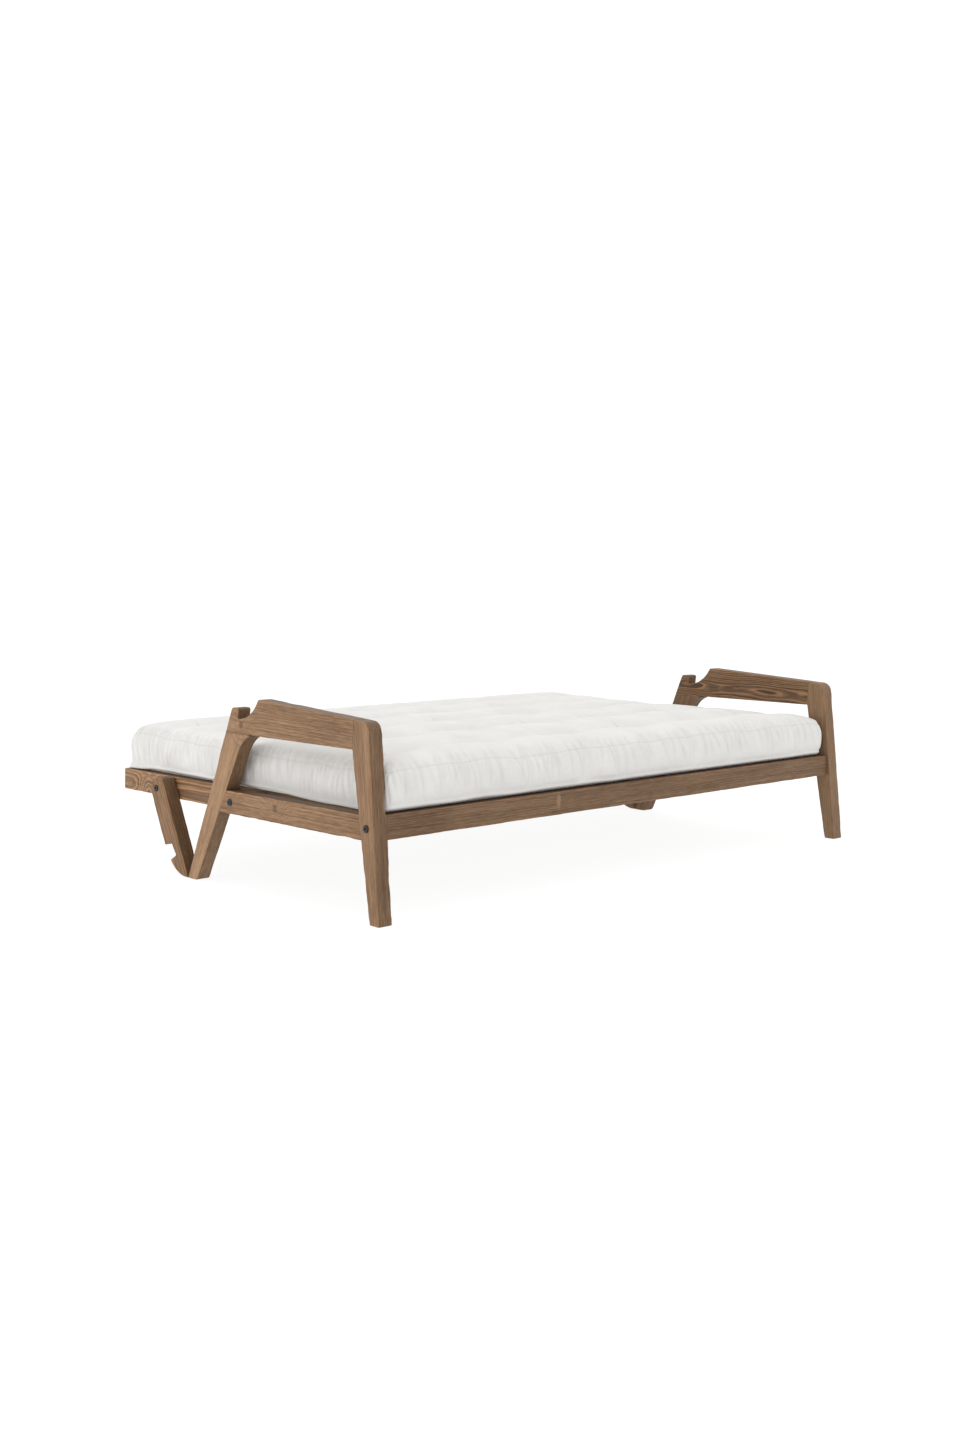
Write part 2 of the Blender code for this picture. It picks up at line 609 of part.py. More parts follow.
def make_back_pivots():
    """A bolt from inside each back side rail into an insert nut in the rear leg, with a washer between."""
    for side, sign in SIDES.items():
        def at(x):
            return (sign * x, HINGE.x, HINGE.y)

        shank = BACK_RAIL_THICKNESS + WASHER_THICKNESS + INSERT_NUT_LENGTH
        bolt(f"{side}_back_pivot_bolt", shank, at(BACK_RAIL_INNER - TOUCH), -sign)
        washer_place = at(BACK_RAIL_OUTER + TOUCH)
        sleeve(f"{side}_back_pivot_washer", WASHER_RADIUS, WASHER_THICKNESS, washer_place, sign)
        nut_place = at(INNER_FACE + TOUCH)
        sleeve(f"{side}_back_pivot_nut", INSERT_NUT_RADIUS, INSERT_NUT_LENGTH, nut_place, sign)


def make_hooks():
    """Each hooked leg turns on a bolt through the back side rail, with a washer between and a nut inside."""
    for side, sign in SIDES.items():
        def at(x):
            return (sign * x, HOOK_PIVOT.x, HOOK_PIVOT.y)

        low, high = sorted((sign * INNER_FACE, sign * OUTER_FACE))
        leg = plate(f"{side}_hook_leg", hook_outline(), low, high, hooks[side])
        through = (at(INNER_FACE - ARM_THICKNESS), at(OUTER_FACE + ARM_THICKNESS))
        bore(leg, BOLT_RADIUS + BOLT_PLAY, *through)
        nut_face = BACK_RAIL_INNER - TOUCH
        shank = OUTER_FACE - nut_face + HEX_NUT_LENGTH
        bolt(f"{side}_hook_bolt", shank, at(OUTER_FACE + TOUCH), sign, backrest)
        washer_place = at(BACK_RAIL_OUTER + TOUCH)
        sleeve(f"{side}_hook_washer", WASHER_RADIUS, WASHER_THICKNESS, washer_place, sign, backrest)
        nut_form = cylinder(HEX_NUT_RADIUS, at(nut_face), at(nut_face - HEX_NUT_LENGTH), sides=6)
        nut = put(mesh_object(f"{side}_hook_nut", nut_form), backrest, (0, 0, 0))
        finish(nut, BRIGHT_STEEL, 0.4, 0.9)
        bore(nut, BOLT_RADIUS + BOLT_PLAY, *through[:1], at(BACK_RAIL_OUTER))


def tuft_cells():
    """The tufts' grid cells, in rows that are staggered by half a column."""
    for row in range(TUFT_ROWS):
        along = CELLS_PAST_ROWS + row * CELLS_PER_ROW
        staggered = row % 2
        for column in range(TUFT_COLUMNS - staggered):
            yield (column + (1 + staggered) / 2) * CELLS_PER_COLUMN, along


def mattress_point(u, v, inset, height):
    """A point at u and v from -1 to 1 across and along the mattress, drawn in between its corners."""
    corner = CORNER_CUT * (abs(u) * abs(v)) ** CORNER_SHARPNESS
    half_x = MATTRESS_HALF_WIDTH - inset - SIDE_DRAW * (1 - v**2) - corner
    half_y = MATTRESS_HALF_DEPTH - inset - SIDE_DRAW * (1 - u**2) - corner
    return Vector((u * half_x, MATTRESS_MIDDLE + v * half_y, MATTRESS_BOTTOM + height))


def mattress_top(u, v, tufts):
    crown = MATTRESS_CROWN * (1 - u**4) * (1 - v**4)
    point = mattress_point(u, v, MATTRESS_TOP_INSET, MATTRESS_EDGE_HEIGHT + crown)
    dips = [math.exp(-(((point - tuft).to_2d().length / TUFT_RADIUS) ** 2)) for tuft in tufts]
    point.z -= TUFT_DEPTH * sum(dips)
    return point


def mattress_form():
    """The whole mattress as one closed form: a tufted top, a seamed side drawn in at its foot, and a flat base."""
    form = bmesh.new()
    u_layer = form.verts.layers.float.new("u")
    v_layer = form.verts.layers.float.new("v")
    bmesh.ops.create_grid(form, x_segments=CELLS_ACROSS, y_segments=CELLS_ALONG, size=1)
    tufts = [
        mattress_point(2 * across / CELLS_ACROSS - 1, 2 * along / CELLS_ALONG - 1, MATTRESS_TOP_INSET, 0)
        for across, along in tuft_cells()
    ]
    for vert in form.verts:
        vert[u_layer], vert[v_layer] = vert.co.x, vert.co.y
        vert.co = mattress_top(vert.co.x, vert.co.y, tufts)
    seam_height = MATTRESS_EDGE_HEIGHT - MATTRESS_SEAM_DROP
    side = (
        (MATTRESS_SEAM_INSET, seam_height),
        (0, seam_height / 2),
        (MATTRESS_FOOT_INSET / 4, seam_height / 5),
        (MATTRESS_FOOT_INSET, 0),
    )
    for inset, height in side:
        rim = [edge for edge in form.edges if edge.is_boundary]
        grown = bmesh.ops.extrude_edge_only(form, edges=rim)["geom"]
        for vert in (item for item in grown if isinstance(item, bmesh.types.BMVert)):
            vert.co = mattress_point(vert[u_layer], vert[v_layer], inset, height)
    bmesh.ops.holes_fill(form, edges=[edge for edge in form.edges if edge.is_boundary], sides=0)
    bmesh.ops.recalc_face_normals(form, faces=form.faces)
    return form


def cut_away(form, angle, keep_front):
    """Cuts the form with a plane that leans from the hinge line, and closes the cut."""
    facing = Vector((0, math.cos(angle), math.sin(angle)))
    shift = -TOUCH / 2 if keep_front else TOUCH / 2
    at = Vector((0, HINGE.x, HINGE.y)) + facing * shift
    geometry = [*form.verts, *form.edges, *form.faces]
    bmesh.ops.bisect_plane(
        form, geom=geometry, plane_co=at, plane_no=facing, clear_outer=keep_front, clear_inner=not keep_front
    )
    bmesh.ops.holes_fill(form, edges=[edge for edge in form.edges if edge.is_boundary], sides=0)
    bmesh.ops.recalc_face_normals(form, faces=form.faces)


def make_mattress():
    """The seat and back halves meet in a V at the hinge line, and the fold between them is a piece of its own."""
    pieces = (
        ("mattress_seat", root, [(FOLD_HALF_ANGLE, True)]),
        ("mattress_fold", root, [(FOLD_HALF_ANGLE, False), (-FOLD_HALF_ANGLE, True)]),
        ("mattress_back", backrest, [(-FOLD_HALF_ANGLE, False)]),
    )
    for name, parent, cuts in pieces:
        form = mattress_form()
        for angle, keep_front in cuts:
            cut_away(form, angle, keep_front)
        place = Vector(parent["place"])
        bmesh.ops.translate(form, vec=-place, verts=form.verts)
        piece = put(mesh_object(name, form), parent, place)
        piece.data.shade_smooth()
        piece.data.set_sharp_from_angle(angle=math.radians(40))
        finish(piece, COTTON, 0.95)


make_arm_frames()
make_seat_rails()
make_slats("seat", FRONT_RAIL_BACK, REAR_RAIL_FRONT, root)
make_back_frame()
make_slats("back", BACK_LOWER_BACK, BACK_TOP_FRONT, backrest)
make_back_pivots()
make_hooks()
make_mattress()
print(f"Sofa pose: the back turns {math.degrees(SOFA_ANGLE):.2f} degrees, each hook {math.degrees(HOOK_SWING):.2f}.")
print(f"Hinge {HINGE.x - BACK_END / 2:.5f}, {HINGE.y:.5f}; hook pivot {HOOK_PIVOT.x - BACK_END / 2:.5f}.")
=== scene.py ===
"""Looks of the sofa bed: brushed, brown-stained pine, dark socket bolts and a tufted cotton mattress.

Metres, +Z up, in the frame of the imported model, with the front of the bed towards -Y and its left towards -X.
"""

import json
import math
import random
from bisect import bisect_left

import bmesh
import bpy
from mathutils import Matrix, Vector, noise
from mathutils.bvhtree import BVHTree
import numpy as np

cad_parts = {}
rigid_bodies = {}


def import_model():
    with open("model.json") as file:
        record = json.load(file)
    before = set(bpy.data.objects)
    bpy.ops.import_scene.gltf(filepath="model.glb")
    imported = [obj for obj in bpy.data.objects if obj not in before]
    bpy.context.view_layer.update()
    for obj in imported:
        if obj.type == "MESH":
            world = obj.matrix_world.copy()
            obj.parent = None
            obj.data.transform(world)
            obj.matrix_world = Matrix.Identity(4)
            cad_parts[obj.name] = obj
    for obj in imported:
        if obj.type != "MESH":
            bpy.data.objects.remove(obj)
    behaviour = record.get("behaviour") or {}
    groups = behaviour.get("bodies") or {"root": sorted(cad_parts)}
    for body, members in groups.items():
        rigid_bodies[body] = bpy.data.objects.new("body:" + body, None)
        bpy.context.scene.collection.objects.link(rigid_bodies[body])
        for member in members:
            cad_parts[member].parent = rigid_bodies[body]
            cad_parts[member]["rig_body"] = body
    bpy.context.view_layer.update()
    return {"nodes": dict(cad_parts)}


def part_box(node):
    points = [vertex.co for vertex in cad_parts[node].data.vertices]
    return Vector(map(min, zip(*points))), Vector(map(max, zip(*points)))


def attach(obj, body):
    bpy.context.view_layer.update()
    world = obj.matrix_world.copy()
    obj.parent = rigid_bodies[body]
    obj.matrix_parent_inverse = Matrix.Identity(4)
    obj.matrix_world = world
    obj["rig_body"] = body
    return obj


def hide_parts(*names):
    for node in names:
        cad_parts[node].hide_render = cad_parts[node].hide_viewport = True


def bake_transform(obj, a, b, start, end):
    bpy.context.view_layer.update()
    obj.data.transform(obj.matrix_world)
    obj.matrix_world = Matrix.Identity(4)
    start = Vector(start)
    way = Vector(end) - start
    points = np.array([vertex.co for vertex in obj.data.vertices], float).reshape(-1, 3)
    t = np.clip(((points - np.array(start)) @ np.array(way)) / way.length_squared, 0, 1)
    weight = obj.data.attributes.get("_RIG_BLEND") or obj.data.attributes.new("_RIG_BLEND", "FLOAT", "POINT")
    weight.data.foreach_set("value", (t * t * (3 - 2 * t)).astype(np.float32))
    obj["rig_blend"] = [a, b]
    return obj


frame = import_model()
scene = bpy.context.scene

# Camera, as the photograph was taken: level, from the front left corner
IMAGE_HEIGHT = 1446
FOCAL_PIXELS = 1621.7
HORIZON_PIXEL = 561.7
CAMERA_PLACE = (-3.585, -3.871, 0.929)
CAMERA_YAW = math.radians(42.478)
SENSOR = 36.0

# Studio: a white sky, and two soft lamps at the left of which the stronger lights the timber alone
FLOOR_HALF_WIDTH = 60
FLOOR_GLOW = 0.88
SKY_AT_HORIZON, SKY_OVERHEAD = 1.12, 1.34
LAMP_SIZE = (1.8, 1.4)
LAMP_PLACE = Vector((-2.9, 0.7, 0.30))
LAMP_AIM = Vector((-1.0, -0.1, 0.30))
TIMBER_LAMP, FILL_LAMP = 76, 10

# Timber boards, and the way that the grain runs in those that lean
GLUED = ("front_leg", "arm_rail", "rear_leg", "side_rail")
CUT_TO_OUTLINE = (*GLUED, "back_side_rail", "hook_leg")
LEAN = {
    "front_leg": Vector((0, 0.0785, 1)),
    "rear_leg": Vector((0, -0.230, 0.516)),
    "arm_rail": Vector((0, 1, 0.03)),
}
HOOK_LEAN = Vector((0, math.sin(math.radians(27)), math.cos(math.radians(27))))
MERGE_GAP, CUT_GAP = 0.00001, 0.00002
CUT_SPACING = 0.008
FACET_ANGLE, FACET_WEIGHT = 20, 80

# Brushed edges. The solid's edges have a first rounding, of at most ROUND_LIMIT, and brushing multiplies it.
# Shares of its depth tell where on the rounding a point lies.
ROUND_LIMIT = 0.0045
ON_FACE, MIDDLE_END, ON_RIM, PAST_ROUND = 0.1, 0.6, 0.9, 1.1
MIDDLE_TO_CORNER = 0.293
FLAT_RIM, SAME_PLANE = 0.02, 0.0001
ROOM_START, ROOM_SPAN = 0.003, 0.004
JOINT_EDGE, JOINT_REACH = 0.2, 0.0025
END_EDGE = 0.35
RAIL_RUB, SLAT_RUB = 1.5, 1.15
LEAST_RUB, USUAL_RUB, MOST_RUB = 0.30, 0.50, 3.6
HOLLOW_SCALE, HOLLOW_START, HOLLOW_RUB = 14, 0.06, 4.2
WAVE_SCALE, WAVE_RUB = 46, 0.7
NICK_SCALE, NICK_RUB = 95, 0.35
RUB_STEP = (7.31, 3.17, 5.77)
USUAL_WEAR = 0.6
PLATE_WEAR = {
    "right_arm_rail": 1.0,
    "right_front_leg": 1.0,
    "left_front_leg": 1.2,
    "left_side_rail": 1.1,
}

# Where in the tree a board was cut from, which differs from one board to the next, and how dark it is
GRAIN_SHIFT = 1.93
FIRST_TURN, TURN_STEP = 0.9, 0.37
HEART_PLACE, HEART_ACROSS, HEART_UP = 0.10, 0.05, 0.07
ACROSS_STEP, UP_STEP, TONE_STEP = 2.3, 1.7, 1.3
FLAT_HEART = 0.055
FLAT_SAWN = {"right_arm_rail": -0.016, "left_back_side_rail": -0.012}
TONE_SPREAD = 0.03
# Painted shadow on the upward faces of the rails that the mattress lies over, and a darker tone at glued joints
UNDER_MATTRESS_SHADE, JOINT_TONE = -0.5, -0.24
BOARD_TONE = {
    "right_front_leg": 0.21,
    "left_rear_leg": 0.09,
    "right_arm_rail": -0.04,
    "left_hook_leg": -0.18,
    "front_rail": 0.03,
}

# Stain, from the darkest to the palest tone, and the noises of the grain: how far each is drawn out along the
# tree, its scale, its detail and its roughness
STAIN = (
    (0.20, (0.072, 0.037, 0.017)),
    (0.42, (0.119, 0.067, 0.034)),
    (0.58, (0.165, 0.097, 0.052)),
    (0.80, (0.226, 0.139, 0.077)),
)
RAW_STAIN = (
    (0.20, (0.125, 0.072, 0.036)),
    (0.45, (0.190, 0.121, 0.066)),
    (0.80, (0.270, 0.183, 0.108)),
)
LATE_SHADE = 0.40
WARM_TINT = (1.25, 1.0, 0.78)
EDGE_FADE = 0.85
BROWN_KNOT, PALE_KNOT = (0.066, 0.035, 0.017), (0.28, 0.17, 0.095)
GRAIN_NOISES = {
    "swirl": (0.26, 14.0, 1.5, 0.5),
    "wander": (0.035, 45.0, 2.0, 0.5),
    "streak": (0.012, 300.0, 4.0, 0.65),
    "dash": (0.055, 520.0, 2.0, 0.6),
    "fibre": (0.022, 1100.0, 2.0, 0.6),
    "stain": (0.30, 16.0, 2.0, 0.5),
}
TONE_SHARES = {"streak": 0.9, "dash": 0.75, "fibre": 0.45, "stain": 0.35}
WANDER_SHARE = 0.6
LATE_HEIGHT, FIBRE_HEIGHT = 0.6, 0.7

# Bolts
BOLT_SIDES = 24
HEAD_RADIUS = 0.010
HEAD_HEIGHT = 0.0035
RIM_ROUND, RIM_STEPS = 0.0014, 4
SOCKET_HALF_WIDTH = 0.0030
SOCKET_DEPTH = 0.0022
SHANK_RADIUS = 0.004

# Mattress: its plan, and the inset and height of each row of points up its side
HALF_WIDTH = 0.945
MOST_BULGE = 0.007
MATTRESS_FRONT, MATTRESS_BACK = -0.6317, 0.6470
MATTRESS_MIDDLE = (MATTRESS_FRONT + MATTRESS_BACK) / 2
HALF_DEPTH = (MATTRESS_BACK - MATTRESS_FRONT) / 2
MATTRESS_BASE = 0.2783
CELLS_ACROSS, CELLS_ALONG = 104, 70
AT_RIM = 0.999
FRONT_CORNER, BACK_CORNER = 0.012, 0.0
SIDE_DRAW, BACK_DRAW = 0.004, 0.001
EDGE_HEIGHT = 0.1365
TOP_INSET = 0.032
FOOT = (0.0065, 0.008)
FLAT_BASE = 0.024
SIDE_PROFILE = (
    (0.0028, 0.0125),
    (0.0055, 0.0185),
    (0.0015, 0.031),
    (0.0000, 0.054),
    (0.0000, 0.076),
    (0.0018, 0.095),
    (0.0045, 0.107),
    (0.0078, 0.1125),
    (0.0100, 0.117),
    (0.0190, 0.128),
)
FOOT_SEAM_LEVEL, SEAM_LEVEL, TOP_LEVEL = 2, 8, 11
ON_BASE, ON_TOP = 0.4, TOP_LEVEL - 0.1

# How the side hangs: its seams wander, its foot sags past the rails, and it settles with the top
SEAM_WANDER, FOOT_WANDER = 0.0068, 0.5
WANDER_ACROSS, WANDER_ALONG, WANDER_UP = 7, 5, 0.2
SIDE_SAG, SIDE_HANG = 0.008, 0.003
HANG_SPAN, SEAT_SAG_SPAN, BACK_SAG_SPAN = (-0.58, -0.50), (0.06, 0.34), (0.50, 0.62)
FRONT_WELT, BACK_FLARE = 0.0022, 0.0095
SETTLED = (0.0, 0.0, 0.0, 0.0, 0.0, 0.2, 0.45, 0.75, 0.80, 0.35, 0.55)

# The top: full in the middle, lower along its edges, and drawn down at the tufts and along their rows
TOP_HEIGHT = 0.147
SIDE_HEIGHT, FRONT_HEIGHT, BACK_HEIGHT = 0.121, 0.136, 0.140
BACK_RISE, BACK_RISE_SPAN = 0.016, (0.28, 0.90)
FRONT_RISE, FRONT_RISE_SPAN = 0.007, (0.6, 1.0)
EDGE_POWER, ROW_POWER = 10, 6
TUFT_PITCH = 0.315
TUFT_ROWS = (-0.467, -0.217, 0.033, 0.253, 0.463)
TUFT_DEPTH, TUFT_HOLD = 0.034, 0.0125
TUFT_REACH = 0.060
TUFT_NEAR, TUFT_FAR = 0.031, 0.050
ROW_DEPTH, ROW_RADIUS = 0.016, 0.027

# Stuffing
STUFFING_PRESSURE, STUFFING_FRAMES = 4.0, 20
SWELL_LIMIT = 0.006

# Gathers: the range of each measure of a main and of a fine pleat, how hard the front and the other sides are
# gathered, and how far apart the pleats are
GATHER_BAND, PLEAT_LIMIT = 0.060, 0.0052
MAIN_PLEAT = {
    "width": (0.0034, 0.0048),
    "depth": (0.0032, 0.0048),
    "up": (0.025, GATHER_BAND),
    "down": (0.080, 0.150),
}
FINE_PLEAT = {
    "width": (0.0024, 0.0034),
    "depth": (0.0008, 0.0020),
    "up": (0.012, 0.035),
    "down": (0.045, 0.110),
}
FRONT_GATHER = {"main": 0.42, "pull": 0.85, "fall": 0.75}
SIDE_GATHER = {"main": 0.62, "pull": 1.35, "fall": 1.0}
PLEAT_SLANT = (-0.12, 0.16)
PLEAT_STEP, PLEAT_SPARE, CROWD_SCALE = (0.0045, 0.0095), 0.005, 9
PLEAT_REACH, PLEAT_FULL = 0.045, 1.6

# Creases that spread from each tuft: the heading in degrees from the back, the length and the depth
CREASE_SPREAD = (
    (0, 0.120, 0.0105),
    (24, 0.070, 0.0035),
    (-28, 0.065, 0.0035),
    (82, 0.075, 0.0062),
    (-86, 0.075, 0.0062),
    (150, 0.042, 0.0030),
    (180, 0.055, 0.0045),
    (-148, 0.042, 0.0030),
)
CREASE_TURN, CREASE_LENGTHS, CREASE_DEPTHS = (-13, 13), (0.55, 1.0), (0.4, 1.0)
CREASE_WIDTH, CREASE_REACH = 0.0034, 0.11
CREASED_SIDE, CREASED_BACK = 0.055, 0.105
PIT_DEPTH, PIT_RADIUS, DIMPLE_RADIUS = 0.004, 0.009, 0.026

# Seams, and how painted shade darkens the cotton in its folds and along its seams, which also carry the
# thread's tint
SEAM_BAND, SEAM_GROOVE = 0.45, 0.001
FOOT_SEAM_SHADE = 0.25
FULL_SHADE_DEPTH, DIMPLE_SHADE, BASE_SHADE = 0.005, 0.35, 0.5
# The seam colour is partly the thread's tint and partly painted shade along the stitch line
SEAM_THREAD_AND_SHADE_COLOUR, SEAM_THREAD_AND_SHADE_SHARE = (0.42, 0.34, 0.32, 1.0), 0.16
# Painted shade: the colour that the cotton is darkened towards in its folds, creases and tuft dimples
FOLD_SHADE_COLOUR, FOLD_SHADE_SHARE = (0.40, 0.385, 0.36, 1.0), 0.22

# The base swells between the slats and is drawn up under the tufts
SLAT_PITCH, HALF_BAY, LAST_BAY = 0.245, 0.084, 0.85
BASE_SWELL, BASE_TUFT, BASE_TUFT_RADIUS = 0.005, 0.006, 0.030
SEAT_BAY_START, SEAT_BAY_END = (-0.57, -0.50), (0.03, 0.10)
BACK_BAY_START, BACK_BAY_END = (0.20, 0.27), (-0.62, -0.55)

# The fold of the mattress, over the hinge of the backrest
FOLD_LINE, FOLD_REACH, FOLD_LEVEL = 0.0796, 0.110, 0.3


# Shared node helpers


def add(tree, kind, inputs=None, **settings):
    """A node whose sockets are given a value or another node's output."""
    made = tree.nodes.new(kind)
    for name, value in settings.items():
        setattr(made, name, value)
    for name, value in (inputs or {}).items():
        if isinstance(value, bpy.types.NodeSocket):
            tree.links.new(value, made.inputs[name])
        else:
            made.inputs[name].default_value = value
    return made


def calc(tree, operation, *values):
    return add(tree, "ShaderNodeMath", dict(enumerate(values)), operation=operation).outputs[0]


def stretched(tree, vector, scale):
    """The vector with each axis scaled."""
    return add(tree, "ShaderNodeVectorMath", {0: vector, 1: scale}, operation="MULTIPLY").outputs[0]


def grainy(tree, vector, scale, detail=2.0, roughness=0.5):
    inputs = {"Vector": vector, "Scale": scale, "Detail": detail, "Roughness": roughness}
    return add(tree, "ShaderNodeTexNoise", inputs).outputs["Fac"]


def between(tree, value, low, high, to_low=0.0, to_high=1.0, smooth=True):
    kind = "SMOOTHSTEP" if smooth else "LINEAR"
    inputs = {"Value": value, "From Min": low, "From Max": high, "To Min": to_low, "To Max": to_high}
    return add(tree, "ShaderNodeMapRange", inputs, interpolation_type=kind).outputs["Result"]


def mixed(tree, share, first, second):
    node = add(tree, "ShaderNodeMix", data_type="RGBA")
    for socket, value in ((node.inputs[0], share), (node.inputs[6], first), (node.inputs[7], second)):
        if isinstance(value, bpy.types.NodeSocket):
            tree.links.new(value, socket)
        else:
            socket.default_value = value
    return node.outputs[2]


def shades(tree, value, stops):
    ramp = add(tree, "ShaderNodeValToRGB", {"Fac": value})
    points = ramp.color_ramp.elements
    while len(points) < len(stops):
        points.new(1.0)
    for point, (place, colour) in zip(points, stops):
        point.position = place
        point.color = (*colour, 1.0)
    return ramp.outputs["Color"]


def new_group(name, inputs, outputs):
    """A shader node group with its named sockets: (group, its input sockets, its output sockets)."""
    group = bpy.data.node_groups.new(name, "ShaderNodeTree")
    for socket, kind, value in inputs:
        group.interface.new_socket(socket, in_out="INPUT", socket_type=kind).default_value = value
    for socket in outputs:
        group.interface.new_socket(socket, in_out="OUTPUT", socket_type="NodeSocketFloat")
    return group, group.nodes.new("NodeGroupInput").outputs, group.nodes.new("NodeGroupOutput").inputs


def new_material(name):
    material = bpy.data.materials.new(name)
    material.use_nodes = True
    return material, material.node_tree, material.node_tree.nodes["Principled BSDF"]


def attribute(tree, name):
    return add(tree, "ShaderNodeAttribute", attribute_name=name).outputs


# Stained pine


def make_pine_grain():
    """Growth rings round the heart of the tree, with streaks and fibres along it, which is Z of the grain."""
    group, given, out = new_group(
        "pine_grain",
        [
            ("Grain", "NodeSocketVector", (0, 0, 0)),
            ("Ring Pitch", "NodeSocketFloat", 0.0042),
            ("Figure", "NodeSocketFloat", 1.0),
            ("Swelling", "NodeSocketFloat", 0.0),
            ("Late Start", "NodeSocketFloat", 0.42),
            ("Late Full", "NodeSocketFloat", 0.85),
        ],
        ["Tone", "Latewood", "Earlywood", "Height"],
    )
    grain = given["Grain"]
    noises = {}
    for part, (drawn_out, scale, detail, roughness) in GRAIN_NOISES.items():
        noises[part] = grainy(group, stretched(group, grain, (1, 1, drawn_out)), scale, detail, roughness)
    across = stretched(group, grain, (1, 1, 0))
    reach = add(group, "ShaderNodeVectorMath", {0: across}, operation="LENGTH").outputs["Value"]
    rings = calc(group, "DIVIDE", reach, given["Ring Pitch"])
    rings = calc(group, "MULTIPLY_ADD", noises["swirl"], given["Figure"], rings)
    rings = calc(group, "MULTIPLY_ADD", noises["wander"], WANDER_SHARE, rings)
    rings = calc(group, "ADD", rings, given["Swelling"])
    year = calc(group, "FRACT", rings)
    number = calc(group, "FLOOR", rings)
    vigour = add(group, "ShaderNodeTexWhiteNoise", {"W": number}, noise_dimensions="1D").outputs["Value"]
    late = between(group, year, given["Late Start"], given["Late Full"])
    late = calc(group, "MULTIPLY", late, between(group, year, 1.0, 0.95))
    late = calc(group, "MULTIPLY", late, between(group, vigour, 0, 1, 0.25, 1.0))
    early = calc(group, "MULTIPLY", between(group, year, 0.0, 0.06), between(group, year, 0.32, 0.12))
    tone = 0.5
    for part, share in TONE_SHARES.items():
        tone = calc(group, "MULTIPLY_ADD", calc(group, "SUBTRACT", noises[part], 0.5), share, tone)
    group.links.new(tone, out["Tone"])
    group.links.new(late, out["Latewood"])
    group.links.new(early, out["Earlywood"])
    fibres = calc(group, "MULTIPLY", noises["fibre"], FIBRE_HEIGHT)
    group.links.new(calc(group, "MULTIPLY_ADD", late, LATE_HEIGHT, fibres), out["Height"])
    return group


def make_edge_wear():
    """Where brushing has thinned the stain on rounded edges."""
    group, given, out = new_group(
        "edge_wear",
        [
            ("Edge", "NodeSocketFloat", 0.0),
            ("Grain", "NodeSocketVector", (0, 0, 0)),
            ("Amount", "NodeSocketFloat", 1.0),
        ],
        ["Wear"],
    )
    patchy = grainy(group, stretched(group, given["Grain"], (1, 1, 0.3)), 60.0, detail=3.0, roughness=0.6)
    worn = calc(group, "MULTIPLY", given["Edge"], between(group, patchy, 0.32, 0.68, 0.15, 1.0))
    group.links.new(calc(group, "MULTIPLY", worn, given["Amount"]), out["Wear"])
    return group


def make_knot():
    """A small branch knot in the face of a board, at a place in object coordinates."""
    group, given, out = new_group(
        "knot",
        [
            ("Place", "NodeSocketVector", (0, 0, 0)),
            ("Radius", "NodeSocketFloat", 0.006),
            ("Squeeze", "NodeSocketVector", (1, 1, 1)),
        ],
        ["Heart", "Halo"],
    )
    here = add(group, "ShaderNodeTexCoord").outputs["Object"]
    wobble = grainy(group, here, 160.0, detail=2.0)
    apart = add(group, "ShaderNodeVectorMath", {0: here, 1: given["Place"]}, operation="SUBTRACT").outputs[0]
    apart = stretched(group, apart, given["Squeeze"])
    gap = add(group, "ShaderNodeVectorMath", {0: apart}, operation="LENGTH").outputs["Value"]
    gap = calc(group, "DIVIDE", gap, given["Radius"])
    gap = calc(group, "MULTIPLY_ADD", calc(group, "SUBTRACT", wobble, 0.5), 0.5, gap)
    group.links.new(between(group, gap, 1.15, 0.55), out["Heart"])
    halo = calc(group, "POWER", 2.718, calc(group, "MULTIPLY", calc(group, "MULTIPLY", gap, gap), -0.09))
    group.links.new(halo, out["Halo"])
    return group


pine_grain = make_pine_grain()
edge_wear = make_edge_wear()
knot = make_knot()


